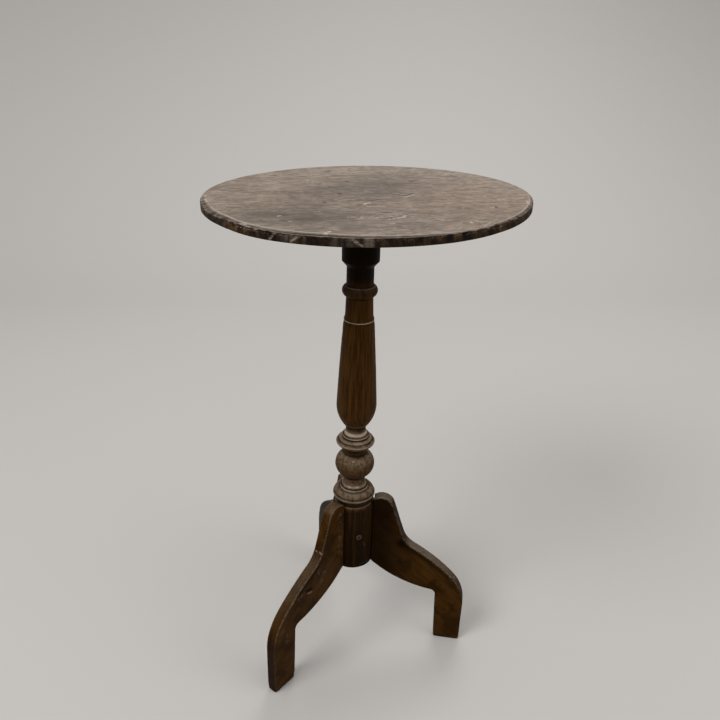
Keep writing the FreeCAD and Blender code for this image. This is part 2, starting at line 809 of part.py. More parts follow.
def draw_leg(sketch):
    """Sawn outline of a leg, from the root along the underside to the sole and back."""
    root = minus(size("hub_radius"), size("leg_root_overlap"))
    rise = times(size("leg_root_overlap"), ROOT_SLOPE_SHARE)
    start = (root, plus(size("hub_bottom_height"), rise))
    steps = [arc_to(start, leg_corner(UNDERSIDE_END_SHARES), UNDERSIDE_BULGE_SHARE)]

    def line(corner, smooth=False):
        steps.append(line_to(corner, smooth))

    def arc(corner, share):
        steps.append(arc_to(steps[-1]["end"], corner, share, smooth=True))

    arc(leg_corner(HEEL_TOP_SHARES), HEEL_BULGE_SHARE)
    line(leg_sole_corner(HEEL_SOLE_SHARE))
    line(leg_sole_corner(TOE_SOLE_SHARE))
    line(leg_corner(TOE_TOP_SHARES))
    arc(leg_corner(SLOPE_END_SHARES), KNEE_BULGE_SHARE)
    arc(leg_corner(SLOPE_START_SHARES), SLOPE_BULGE_SHARE)
    arc(leg_corner(WAIST_SHARES), NOTCH_BULGE_SHARE)
    line(leg_corner(LOBE_END_SHARES), smooth=True)
    arc(leg_corner(LOBE_START_SHARES), LOBE_BULGE_SHARE)
    line((root, leg_corner(LOBE_START_SHARES)[1]))
    draw_outline(sketch, start, steps)


def leg(doc, index, floor):
    """Sawn leg with a tenon at its root and a sole cut level with the floor."""
    name = LEG_NAMES[index]
    azimuth = leg_azimuth(index)
    body = doc.addObject("PartDesign::Body", name + "_blank")
    lean_with_column(body)
    outline = add_sketch(body, name + "_outline", "XZ_Plane", azimuth)
    draw_leg(outline)
    extrude(body, "Pad", outline, size("leg_thickness"))

    bevel_leg(body, body.Tip, azimuth)

    cope = add_sketch(body, name + "_cope", "XY_Plane")
    draw_circle(cope, plus(size("hub_radius"), size("fit_clearance")))
    extrude(body, "Pocket", cope, times(plus(leg_height(), size("cut_overrun")), 2))

    tenon = add_sketch(body, name + "_tenon", "XZ_Plane", azimuth)
    shoulder = plus(size("hub_radius"), size("leg_root_overlap"))
    draw_tenon(tenon, shoulder, ZERO)
    extrude(body, "Pad", tenon, size("leg_tenon_thickness"))

    hole = add_sketch(body, name + "_peg_socket", "YZ_Plane", azimuth)
    gap = size("fit_clearance")
    draw_circle(hole, plus(size("peg_radius"), gap), peg_level(index))
    depth = plus(plus(tenon_inner_radius(), size("peg_bite")), gap)
    extrude(body, "Pocket", hole, depth, symmetric=False, reverse=True)
    doc.recompute()
    return cut(doc, name, body, floor)


def bevel_leg(body, feature, azimuth):
    """Ease the long edges of a leg's two faces."""
    doc = body.Document
    doc.recompute()
    angle = math.radians(number(doc, azimuth))
    side = Vector(-math.sin(angle), math.cos(angle), 0)
    outward = Vector(math.cos(angle), math.sin(angle), 0)
    half = number(doc, size("leg_thickness")) / 2
    root = number(doc, minus(size("hub_radius"), size("leg_root_overlap")))
    near = number(doc, size("fit_clearance"))

    def on_face(edge):
        middle = edge.valueAt((edge.FirstParameter + edge.LastParameter) / 2)
        flat = abs(abs(middle.dot(side)) - half) < near
        return flat and middle.dot(outward) > root + near and middle.z > near

    round_edges(body, feature, "Chamfer", on_face, size("leg_arris"))


def peg(doc, index):
    """Round peg through the hub into one leg's tenon."""
    name = LEG_NAMES[index].replace("leg_", "peg_")
    body = doc.addObject("PartDesign::Body", name)
    lean_with_column(body)
    sketch = add_sketch(body, name + "_end", "YZ_Plane", leg_azimuth(index))
    draw_circle(sketch, size("peg_radius"), peg_level(index))
    outward = plus(size("hub_radius"), size("peg_proud"))
    inward = plus(tenon_inner_radius(), size("peg_bite"))
    extrude(body, "Pad", sketch, inward, second=outward)
    return body


def floor_block(doc):
    """Everything below the floor, to level the soles."""
    block = doc.addObject("Part::Box", "floor_block")
    half = plus(size("leg_reach"), plus(size("column_foot_left"), size("cut_overrun")))
    depth = times(sole_drop(), 2)
    block.setExpression("Length", times(half, 2))
    block.setExpression("Width", times(half, 2))
    block.setExpression("Height", depth)
    block.setExpression("Placement.Base.x", times(half, -1))
    block.setExpression("Placement.Base.y", times(half, -1))
    block.setExpression("Placement.Base.z", times(depth, -1))
    return block


def check(doc, parts):
    """Stop if any feature failed or any piece is not one sound shape."""
    for item in doc.Objects:
        if "Invalid" in item.State or "Error" in item.State:
            raise RuntimeError(item.Name + " failed: " + str(item.State))
    for name, item in parts.items():
        if item.Shape.isNull() or not item.Shape.isValid():
            raise RuntimeError(name + " has no valid shape")


def main():
    doc = FreeCAD.newDocument("lamp_table")
    make_sheet(doc)
    parts = {}
    parts["top_board_front"] = top_board(doc, "top_board_front", True)
    parts["top_board_rear"] = top_board(doc, "top_board_rear", False)
    parts["cleat"] = cleat(doc)
    screws = [
        screw(doc, reach, front, place)
        for front in (True, False)
        for reach, place in screw_places(front)
    ]
    parts["cleat_screws"] = doc.addObject("Part::Compound", "cleat_screws")
    parts["cleat_screws"].Links = screws
    parts["column"] = column(doc)
    parts["tenon_wedge"] = tenon_wedge(doc)
    floor = floor_block(doc)
    for index, name in enumerate(LEG_NAMES):
        parts[name] = leg(doc, index, floor)
        parts[name.replace("leg_", "peg_")] = peg(doc, index)
    doc.recompute()
    check(doc, parts)

    os.makedirs("parts", exist_ok=True)
    for name, item in parts.items():
        item.Label = name
        item.Shape.exportStep("parts/" + name + ".step")
        print(name, len(item.Shape.Solids), "solid", round(item.Shape.Volume / 1000, 1), "cm3")


main()
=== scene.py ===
"""Looks of the round lamp table: worn top, turned column and sawn legs on a pale floor.

Shapes are worked out in millimetres and written to the meshes in metres. Wear only takes
wood away, so every piece stays inside the solid that it stands for.
"""
import itertools
import math

import bmesh
import bpy
import numpy as np
from mathutils import Matrix, Vector
from mathutils.bvhtree import BVHTree
from mathutils.kdtree import KDTree


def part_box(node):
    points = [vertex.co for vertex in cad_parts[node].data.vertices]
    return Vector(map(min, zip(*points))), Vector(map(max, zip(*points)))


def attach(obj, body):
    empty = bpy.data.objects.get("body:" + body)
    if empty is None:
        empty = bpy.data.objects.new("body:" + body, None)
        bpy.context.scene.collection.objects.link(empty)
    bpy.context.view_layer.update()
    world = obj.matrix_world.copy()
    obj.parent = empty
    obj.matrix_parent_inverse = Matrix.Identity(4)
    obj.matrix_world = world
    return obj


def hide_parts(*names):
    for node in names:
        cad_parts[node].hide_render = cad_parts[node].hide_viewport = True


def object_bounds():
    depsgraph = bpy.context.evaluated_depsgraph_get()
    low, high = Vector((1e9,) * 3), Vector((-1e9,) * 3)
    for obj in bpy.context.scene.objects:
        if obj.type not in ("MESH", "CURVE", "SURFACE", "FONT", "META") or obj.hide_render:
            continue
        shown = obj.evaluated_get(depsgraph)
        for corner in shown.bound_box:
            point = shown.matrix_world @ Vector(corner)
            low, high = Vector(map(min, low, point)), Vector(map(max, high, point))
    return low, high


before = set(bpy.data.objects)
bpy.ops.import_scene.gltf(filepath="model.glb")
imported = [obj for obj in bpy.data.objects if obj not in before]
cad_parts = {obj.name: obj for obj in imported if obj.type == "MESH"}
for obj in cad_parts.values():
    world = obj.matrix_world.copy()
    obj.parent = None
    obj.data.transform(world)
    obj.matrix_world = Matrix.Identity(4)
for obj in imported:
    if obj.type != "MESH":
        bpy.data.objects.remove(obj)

CAD_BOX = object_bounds()
MM = 0.001
PICTURE_SIDE = 720

# The camera that took the photograph.
CAMERA_PLACE = Vector((-0.02373, -0.88857, 0.90314))
CAMERA_PITCH = 25
CAMERA_YAW = 1.016
CAMERA_ROLL = 0.16
CAMERA_LENS = 35
CAMERA_SENSOR = 36

# The column's leaning axis: its lean towards +X, and where it meets the floor.
COLUMN_LEAN = math.radians(1.488)
COLUMN_FOOT_X = -23.7
LEG_AZIMUTHS = {"leg_right": -10.82, "leg_rear": 106.48, "leg_left": 229.18}


# Helpers for points and meshes

def smooth_step(low, high, value):
    """0 below low, 1 above high, and a smooth rise between them."""
    share = np.clip((value - low) / (high - low), 0, 1)
    return share * share * (3 - 2 * share)


def noise(points, scale, seed, octaves=1):
    """Smooth noise from -1 to 1 at points in millimetres, with features of about one scale."""
    total = np.zeros(len(points))
    weight = 1
    weights = 0
    for octave in range(octaves):
        place = points / (np.asarray(scale) / 2 ** octave) + 31.7 * seed + 5.3 * octave
        cell = np.floor(place).astype(np.int64)
        share = smooth_step(0, 1, place - cell)
        value = np.zeros(len(points))
        for corner in itertools.product((0, 1), repeat=3):
            x, y, z = (cell + np.array(corner)).T
            mixed = x * 374761393 + y * 668265263 + z * 1440670441
            mixed = (mixed ^ (mixed >> 13)) * 1274126177
            mixed = (mixed ^ (mixed >> 16)) & 0xFFFF
            side = np.where(corner, share, 1 - share).prod(axis=1)
            value += side * (mixed / 0x7FFF - 1)
        total += weight * value
        weights += weight
        weight *= 0.5
    return total / weights


def read(items, name, width, kind=np.float32):
    """One row of numbers for each of a mesh's items."""
    values = np.empty(len(items) * width, kind)
    items.foreach_get(name, values)
    return values.reshape(-1, width)


def points_of(mesh):
    return read(mesh.vertices, "co", 3).astype(float) / MM


def normals_of(mesh):
    return read(mesh.vertex_normals, "vector", 3).astype(float)


def set_points(mesh, points):
    mesh.vertices.foreach_set("co", (points * MM).astype(np.float32).ravel())
    mesh.update()


def relax(points, edges, rounds):
    """Each point moves half way to the mean of its neighbours, round after round."""
    starts, ends = np.concatenate([edges, edges[:, ::-1]]).T
    count = np.bincount(starts, minlength=len(points))
    for _ in range(rounds):
        total = [np.bincount(starts, column, len(points)) for column in points[ends].T]
        points = points + 0.5 * ((total / count).T - points)
    return points


def store(mesh, **values):
    """Store numbers from 0 to 1 for each vertex, each set under its own name."""
    for name, numbers in values.items():
        attribute = mesh.attributes.get(name) or mesh.attributes.new(name, "FLOAT", "POINT")
        attribute.data.foreach_set("value", np.clip(numbers, 0, 1).astype(np.float32))


def set_grain(mesh, coordinates):
    """Store each vertex's place in its own board, in metres, with the grain along X."""
    attribute = mesh.attributes.new("grain", "FLOAT_VECTOR", "POINT")
    attribute.data.foreach_set("vector", (coordinates * MM).astype(np.float32).ravel())


def quarter(steps):
    """Sine and cosine of each step through a quarter turn, from its start to its end."""
    turns = [math.radians(90 * step / steps) for step in range(steps + 1)]
    return [(math.sin(turn), math.cos(turn)) for turn in turns]


def ring_faces(rings, segments):
    """Faces of a solid of rings of points, with one more point in the middle of each end."""
    faces = []
    for ring in range(rings - 1):
        for index in range(segments):
            here = ring * segments + index
            beside = ring * segments + (index + 1) % segments
            faces.append((here, beside, beside + segments, here + segments))
    last_ring = (rings - 1) * segments
    middle = rings * segments
    for index in range(segments):
        beside = (index + 1) % segments
        faces.append((middle, beside, index))
        faces.append((middle + 1, last_ring + index, last_ring + beside))
    return faces


def new_mesh(name, points, faces):
    mesh = bpy.data.meshes.new(name)
    mesh.from_pydata(points * MM, [], faces)
    return mesh


def new_object(name, data):
    thing = bpy.data.objects.new(name, data)
    bpy.context.scene.collection.objects.link(thing)
    return thing


def piece(name, mesh, material, node, sharp=None):
    """Make a piece of the table that stands for a node."""
    thing = new_object(name, mesh)
    mesh.shade_smooth()
    if sharp is not None:
        mesh.set_sharp_from_angle(angle=math.radians(sharp))
    mesh.materials.clear()
    mesh.materials.append(material)
    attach(thing, "root")
    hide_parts(node)


def closed_copy(node):
    """Welded copy of a node's mesh."""
    mesh = bpy.data.meshes.new(node + "_copy")
    shape = bmesh.new()
    shape.from_mesh(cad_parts[node].data)
    bmesh.ops.remove_doubles(shape, verts=shape.verts, dist=0.002 * MM)
    shape.to_mesh(mesh)
    shape.free()
    return mesh


def sliced(shape, place, facing, **sides):
    """Cut a shape by a plane, and find the edges of the cut."""
    everything = shape.verts[:] + shape.edges[:] + shape.faces[:]
    cut = bmesh.ops.bisect_plane(
        shape, geom=everything, dist=1e-7, plane_co=place, plane_no=facing, **sides,
    )
    return [part for part in cut["geom_cut"] if isinstance(part, bmesh.types.BMEdge)]


def evaluated(thing):
    """Mesh of an object with its modifiers applied. The object is then removed."""
    graph = bpy.context.evaluated_depsgraph_get()
    mesh = bpy.data.meshes.new_from_object(thing.evaluated_get(graph))
    bpy.data.objects.remove(thing)
    return mesh


def remeshed(node, voxel):
    """Even mesh of a node's solid, in squares of about one voxel."""
    thing = new_object(node + "_even", closed_copy(node))
    modifier = thing.modifiers.new("even", "REMESH")
    modifier.mode = "VOXEL"
    modifier.voxel_size = voxel * MM
    return evaluated(thing)


# The view of the photograph

def camera_matrix():
    turn = Matrix.Rotation(math.radians(-CAMERA_YAW), 4, "Z")
    tilt = Matrix.Rotation(math.radians(90 - CAMERA_PITCH), 4, "X")
    roll = Matrix.Rotation(math.radians(CAMERA_ROLL), 4, "Z")
    return Matrix.Translation(CAMERA_PLACE) @ turn @ tilt @ roll


def sight_line(pixel):
    """Direction from the camera through a pixel of the photograph."""
    focal = CAMERA_LENS / CAMERA_SENSOR * PICTURE_SIDE
    across = (pixel[0] - PICTURE_SIDE / 2) / focal
    down = (pixel[1] - PICTURE_SIDE / 2) / focal
    return (camera_matrix().to_3x3() @ Vector((across, -down, -1))).normalized()


def seen_on(mesh, lines):
    """Places in millimetres where lines of pixels of the photograph meet a mesh."""
    tree = BVHTree.FromPolygons([v.co for v in mesh.vertices], [p.vertices for p in mesh.polygons])
    result = []
    for line in lines:
        pixels = zip(line[::2], line[1::2])
        places = [tree.ray_cast(CAMERA_PLACE, sight_line(pixel))[0] for pixel in pixels]
        if None in places:
            raise ValueError(f"a mark at {line} misses {mesh.name}")
        result.append(np.array(places) / MM)
    return result


def reach_from(points, line):
    """Distance of each point from a line of places."""
    nearest = np.linalg.norm(points - line[0], axis=1)
    for start, end in zip(line, line[1:]):
        way = end - start
        share = np.clip((points - start) @ way / (way @ way), 0, 1)
        nearest = np.minimum(nearest, np.linalg.norm(points - start - share[:, None] * way, axis=1))
    return nearest


def marked(points, lines, half_width):
    """1 along the middle of some lines, falling to 0 at their ragged half width."""
    total = np.zeros(len(points))
    ragged = half_width * (1 + 0.5 * noise(points, half_width * 1.5, 23, 2))
    for line in lines:
        total = np.maximum(total, smooth_step(1, 0.3, reach_from(points, line) / ragged))
    return total


def make_camera():
    data = bpy.data.cameras.new("camera")
    data.lens = CAMERA_LENS
    data.sensor_width = CAMERA_SENSOR
    camera = new_object("camera", data)
    camera.matrix_world = camera_matrix()
    bpy.context.scene.camera = camera


# The leaning axis of the column and legs

def turned(x, y, angle):
    """Two coordinates turned by an angle, from the first axis towards the second."""
    cosine, sine = math.cos(angle), math.sin(angle)
    return x * cosine - y * sine, x * sine + y * cosine


def to_axis(points):
    """Points in the column's own upright frame."""
    x, z = turned(points[:, 0] - COLUMN_FOOT_X, points[:, 2], COLUMN_LEAN)
    return np.stack([x, points[:, 1], z], axis=1)


def from_axis(points):
    """Points of the column's own upright frame, back in the table's frame."""
    x, z = turned(points[:, 0], points[:, 2], -COLUMN_LEAN)
    return np.stack([x + COLUMN_FOOT_X, points[:, 1], z], axis=1)


def leg_frame(points, azimuth):
    """Points in a leg's own frame: X out from the column's axis, Y across the leg, Z up."""
    local = to_axis(points)
    x, y = turned(local[:, 0], local[:, 1], -math.radians(azimuth))
    return np.stack([x, y, local[:, 2]], axis=1)


# Materials

# Old dry wood shines little, and what it reflects is tinted by its stain.
GLOSS = 0.12
STAIN_GLOSS = 0.03
STAIN_TINT = (1, 0.72, 0.45, 1)

# Depth in metres of the relief of long grain, and of end grain and rust.
GRAIN_RELIEF = 0.0005
FINE_RELIEF = 0.0002


class Shader:
    """Small builder for a material's nodes."""

    def __init__(self, name, gloss=GLOSS):
        self.material = bpy.data.materials.new(name)
        self.material.use_nodes = True
        self.tree = self.material.node_tree
        self.surface = self.tree.nodes["Principled BSDF"]
        self.surface.inputs["Specular IOR Level"].default_value = gloss
        self.object_place = self.node("ShaderNodeTexCoord").outputs["Object"]

    def node(self, kind, inputs=None, **settings):
        """New node with some settings, and with numbers, colours or other nodes' outputs as inputs."""
        made = self.tree.nodes.new(kind)
        for key, value in settings.items():
            setattr(made, key, value)
        for socket, value in (inputs or {}).items():
            self.feed(made.inputs[socket], value)
        return made

    def feed(self, socket, value):
        if isinstance(value, bpy.types.NodeSocket):
            self.tree.links.new(value, socket)
        elif socket.type == "RGBA":
            socket.default_value = (*value, 1)
        else:
            socket.default_value = value

    def math(self, operation, first, second, clamp=False):
        inputs = {0: first, 1: second}
        return self.node("ShaderNodeMath", inputs, operation=operation, use_clamp=clamp).outputs[0]

    def times(self, first, second):
        return self.math("MULTIPLY", first, second)

    def plus(self, first, second):
        return self.math("ADD", first, second)

    def ramp(self, value, low, high, start=0, end=1):
        """Smooth change from start to end while the value goes from low to high."""
        inputs = {"Value": value, "From Min": low, "From Max": high, "To Min": start, "To Max": end}
        return self.node("ShaderNodeMapRange", inputs, interpolation_type="SMOOTHSTEP").outputs["Result"]

    def attribute(self, name, vector=False):
        made = self.node("ShaderNodeAttribute", attribute_name=name)
        return made.outputs["Vector" if vector else "Fac"]

    def noise(self, place, scale, detail, roughness, distortion=0):
        """Noise of a place, with one scale or with one along each axis."""
        if isinstance(scale, tuple):
            stretched = self.node("ShaderNodeVectorMath", {0: place, 1: scale}, operation="MULTIPLY")
            place, scale = stretched.outputs["Vector"], 1
        inputs = {"Vector": place, "Scale": scale, "Detail": detail, "Roughness": roughness}
        inputs["Distortion"] = distortion
        return self.node("ShaderNodeTexNoise", inputs).outputs[0]

    def mix(self, share, first, second):
        return self.node("ShaderNodeMix", {0: share, 6: first, 7: second}, data_type="RGBA").outputs[2]

    def coated(self, color, *coats):
        """A colour under some coats, each with its share and its own colour."""
        for share, coat in coats:
            color = self.mix(share, color, coat)
        return color

    def finish(self, color, roughness, height=None, relief=GRAIN_RELIEF):
        self.feed(self.surface.inputs["Base Color"], color)
        self.feed(self.surface.inputs["Roughness"], roughness)
        if height is not None:
            bump = self.node("ShaderNodeBump", {"Height": height, "Distance": relief})
            self.feed(self.surface.inputs["Normal"], bump.outputs[0])
        return self.material


def flat_wood(make, grain, clouds, fine_streaks, specks):
    """Colour of the flat of the top: cloudy grey-brown wood with streaks, stained and flaky patches, and
    painted sheen along its far edge.
    """
    streaks = make.noise(grain, (24, 70, 70), 5, 0.66, 1.2)
    mottle = make.noise(grain, (65, 130, 130), 4, 0.68, 0.8)
    flaky = make.attribute("flaky")
    return make.coated(
        make.mix(make.ramp(clouds, 0.36, 0.64), (0.22, 0.175, 0.14), (0.3, 0.241, 0.195)),
        # Paler wood, and painted sheen along the far edge of the flat.
        (make.attribute("pale"), (0.41, 0.348, 0.292)),
        (make.times(make.attribute("pink"), 0.85), (0.312, 0.218, 0.16)),
        (make.ramp(streaks, 0.48, 0.66, 0, 0.54), (0.135, 0.108, 0.086)),
        (make.ramp(mottle, 0.5, 0.64, 0, 0.64), (0.15, 0.118, 0.094)),
        (make.ramp(mottle, 0.5, 0.38, 0, 0.78), (0.385, 0.318, 0.262)),
        (make.ramp(fine_streaks, 0.52, 0.72, 0, 0.45), (0.16, 0.126, 0.1)),
        (make.attribute("dark"), (0.046, 0.042, 0.036)),
        (make.times(make.times(flaky, make.ramp(specks, 0.53, 0.59)), 0.85), (0.45, 0.38, 0.315)),
        (make.times(flaky, make.ramp(specks, 0.45, 0.38, 0, 0.55)), (0.1, 0.078, 0.06)),
    )


def rim_wood(make, grain, grit):
    """Colours of the side of the rim: its dark stain, and the torn wood of its chips."""
    blotches = make.noise(grain, (110, 110, 33), 5, 0.65)
    side = make.mix(make.ramp(blotches, 0.42, 0.64), (0.005, 0.002, 0.0007), (0.036, 0.019, 0.0082))
    side = make.mix(make.ramp(grit, 0.56, 0.72, 0, 0.27), side, (0.115, 0.083, 0.056))
    brown = make.mix(make.ramp(blotches, 0.42, 0.62), (0.028, 0.012, 0.0032), (0.105, 0.054, 0.019))
    torn = make.mix(make.ramp(grit, 0.42, 0.6), brown, (0.27, 0.215, 0.165))
    return side, make.mix(make.attribute("low"), torn, brown)


def top_material():
    make = Shader("worn_top_wood")
    grain = make.attribute("grain", vector=True)
    rim = make.attribute("rim")
    clouds = make.noise(grain, (9, 16, 16), 4, 0.6, 0.4)
    fine_streaks = make.noise(grain, (120, 420, 420), 4, 0.6)
    grit = make.noise(grain, 420, 3, 0.6)
    specks = make.noise(grain, (190, 420, 420), 4, 0.65)
    side, torn = rim_wood(make, grain, grit)
    worn = make.times(make.attribute("worn"), make.ramp(grit, 0.22, 0.5, 0.3, 1))
    flake = make.times(make.attribute("flake"), make.ramp(specks, 0.42, 0.56, 0.15, 1))
    color = make.coated(
        flat_wood(make, grain, clouds, fine_streaks, specks),
        (rim, side),
        (worn, make.mix(rim, (0.43, 0.36, 0.3), torn)),
        (flake, make.mix(rim, (0.51, 0.435, 0.365), (0.31, 0.255, 0.195))),
        (make.attribute("grime"), (0.02, 0.014, 0.009)),
    )
    height = make.plus(make.times(fine_streaks, 0.6), make.times(grit, 0.5))
    return make.finish(color, make.ramp(clouds, 0.3, 0.7, 0.62, 0.8), height)


def stained(name):
    """Shader of dark stained wood, whose faint reflections are brown."""
    make = Shader(name, STAIN_GLOSS)
    make.surface.inputs["Specular Tint"].default_value = STAIN_TINT
    return make


def turned_material():
    make = stained("stained_column_wood")
    grain = make.attribute("grain", vector=True)
    dust = make.attribute("dust")
    streaks = make.noise(grain, (10, 320, 320), 5, 0.6, 0.2)
    fine = make.noise(grain, (40, 900, 900), 3, 0.6)
    grit = make.noise(grain, 700, 3, 0.6)
    blotches = make.noise(grain, 190, 4, 0.6)
    wood = make.mix(make.ramp(streaks, 0.34, 0.66), (0.029, 0.0112, 0.0018), (0.066, 0.0285, 0.006))
    wood = make.mix(make.ramp(fine, 0.55, 0.75, 0, 0.4), wood, (0.095, 0.05, 0.019))
    # Painted shade over some dark stain under the top, and a darker hub low down: the wood goes towards
    # nearly black where the shade is high.
    light = make.math("SUBTRACT", 1, make.attribute("shade"))
    light = make.math("POWER", light, make.ramp(streaks, 0.46, 0.66, 1.2, 0.6))
    loose = make.times(dust, make.ramp(grit, 0.25, 0.62, 0.35, 1))
    color = make.coated(
        make.mix(light, (0.0035, 0.0015, 0.0006), wood),
        (make.times(loose, make.ramp(blotches, 0.38, 0.58, 0.4, 1.12)), (0.2, 0.148, 0.102)),
        # Dirt and painted shade in the grooves and hollows, and painted shade under the rings.
        (make.times(make.attribute("grime"), 0.9), (0.006, 0.003, 0.0014)),
        # Rubbed wood, with painted highlights on the column's edges and light spots.
        (make.times(make.attribute("worn"), make.ramp(grit, 0.25, 0.52, 0.4, 1)), (0.46, 0.373, 0.288)),
    )
    height = make.plus(make.times(streaks, 0.7), make.times(fine, 0.5))
    return make.finish(color, make.plus(0.46, make.times(dust, 0.35)), height)


def leg_material():
    make = stained("stained_leg_wood")
    grain = make.attribute("grain", vector=True)
    dust = make.attribute("dust")
    streaks = make.noise(grain, (15, 75, 75), 5, 0.66, 1.4)
    fine = make.noise(grain, (40, 600, 600), 3, 0.6)
    clouds = make.noise(grain, 32, 4, 0.62)
    grit = make.noise(grain, 600, 3, 0.6)
    flake = make.times(make.attribute("flake"), make.ramp(grit, 0.35, 0.55, 0.25, 0.85))
    color = make.coated(
        make.mix(make.ramp(streaks, 0.36, 0.66), (0.037, 0.015, 0.0023), (0.06, 0.0268, 0.0054)),
        (make.ramp(clouds, 0.46, 0.62, 0, 0.7), (0.017, 0.0064, 0.0012)),
        (make.ramp(fine, 0.56, 0.76, 0, 0.3), (0.085, 0.046, 0.017)),
        # Painted shade on the legs, with the darker band along the right leg's upper edge.
        (make.attribute("shade"), (0.0045, 0.0018, 0.0006)),
        (make.times(dust, make.ramp(grit, 0.3, 0.62, 0.4, 1)), (0.165, 0.125, 0.089)),
        (make.times(make.attribute("worn"), make.ramp(grit, 0.35, 0.62)), (0.2, 0.155, 0.112)),
        (flake, (0.23, 0.182, 0.132)),
        (make.attribute("grime"), (0.004, 0.002, 0.001)),
    )
    height = make.plus(make.times(streaks, 0.6), make.times(fine, 0.5))
    return make.finish(color, make.plus(0.48, make.times(dust, 0.3)), height)


def cleat_material():
    make = Shader("old_sawn_wood")
    grain = make.attribute("grain", vector=True)
    streaks = make.noise(grain, (9, 120, 120), 5, 0.6, 0.4)
    grit = make.noise(grain, 500, 3, 0.6)
    wood = make.mix(make.ramp(streaks, 0.35, 0.66), (0.05, 0.03, 0.018), (0.125, 0.082, 0.052))
    wood = make.mix(make.ramp(grit, 0.55, 0.75, 0, 0.4), wood, (0.03, 0.018, 0.011))
    return make.finish(wood, 0.78, streaks)


def peg_material():
    make = stained("peg_end_grain")
    grit = make.noise(make.object_place, 900, 4, 0.65)
    wood = make.mix(make.ramp(grit, 0.4, 0.6), (0.014, 0.0065, 0.0028), (0.034, 0.019, 0.01))
    rubbed = make.ramp(make.attribute("ring"), 0.42, 0.8, 0.15, 1)
    rubbed = make.times(rubbed, make.ramp(grit, 0.35, 0.55, 0.4, 1))
    return make.finish(make.mix(rubbed, wood, (0.098, 0.071, 0.046)), 0.66, grit, FINE_RELIEF)


def wedge_material():
    make = stained("wedge_end_grain")
    grit = make.noise(make.object_place, 700, 4, 0.65)
    wood = make.mix(make.ramp(grit, 0.38, 0.62), (0.03, 0.017, 0.009), (0.11, 0.078, 0.052))
    return make.finish(wood, 0.7, grit, FINE_RELIEF)


def iron_material():
    make = Shader("oxidised_iron")
    rust = make.noise(make.object_place, 520, 4, 0.65)
    color = make.mix(make.ramp(rust, 0.42, 0.62), (0.06, 0.052, 0.046), (0.11, 0.048, 0.022))
    make.surface.inputs["Metallic"].default_value = 0.7
    return make.finish(color, make.ramp(rust, 0.4, 0.65, 0.45, 0.8), rust, FINE_RELIEF)


# The round top

TOP_SEGMENTS = 900

# Spacing of the rings on the flat, and counts of rings on the other stretches.
TOP_STEP = 3.2
BAND_RINGS = 15
LIP_RINGS = 5
SIDE_RINGS = 15
FOOT_RINGS = 4
UNDERSIDE_RINGS = 24

# Widths, radii and depths in millimetres.
ARRIS_WIDTH = 1.4
LIP_RADIUS = 0.9
FOOT_RADIUS = 1.2
FLAT_DIP = 0.14
GROOVE_DEPTH = 1.6
CHIP_DROP = 1.4
CHIP_DEPTH = 3
RIB_DEPTH = 0.1
RIB_SHIFT = 0.2

# Depths of the marks: pits, splits, flaked wood, and chips in the side.
PIT_DEPTH = 0.9
SPLIT_DEPTH = 1.1
FLAKE_DEPTH = 0.35
SIDE_CHIP_DEPTH = 0.7

# Longest edge near a small mark, and how near.
FINE_EDGE = 0.8
FINE_REACH = 4

# Wear of the rim by azimuth: wood lost from the outline, width and drop of the worn band along the edge,
# in millimetres, then its groove, its chips and its bright inner line, from 0 to 1
RIM_WEAR = (
    (-180, 3, 5, 0.7, 0, 0.1, 0.2), (-166, 3.9, 9.5, 1.4, 0, 0.3, 0.2), (-153, 4.5, 9, 2.6, 0, 0.4, 0.7),
    (-146, 4.6, 9.5, 1.8, 0, 0.7, 1), (-138, 3.9, 8.5, 1.1, 0, 1, 1), (-130, 1.2, 9.5, 1, 0, 1, 1),
    (-122, 0, 9.5, 0.7, 0.4, 0.7, 1), (-112, 0, 11, 0.5, 0.9, 0.3, 1), (-104, 0, 13.5, 0.4, 1, 0.2, 1),
    (-96, 0, 11.5, 0.4, 1, 0.2, 0.9), (-84, 0, 8.5, 0.4, 1, 0.1, 0.8), (-74, 0, 6, 0.4, 0.8, 0.2, 0.7),
    (-66, 0, 2.6, 0.6, 0, 0.5, 0.5), (-56, 1.4, 2.8, 1, 0, 0.7, 0.4), (-47, 3.4, 4, 1.2, 0, 0.8, 0.4),
    (-38, 4.2, 5.5, 1.4, 0, 0.7, 0.6), (-28, 4.9, 6, 1.6, 0, 0.6, 0.8), (-18, 5, 5, 1.2, 0, 0.4, 0.9),
    (-8, 4.2, 4, 1, 0, 0.2, 0.7), (5, 2.6, 3, 0.8, 0, 0.2, 0.4), (20, 0.8, 2.6, 0.7, 0, 0.2, 0.2),
    (32, 0.1, 2.6, 0.6, 0, 0.2, 0.1), (158, 0.1, 2.6, 0.6, 0, 0.2, 0.1), (170, 1.4, 3.4, 0.7, 0, 0.1, 0.1),
)

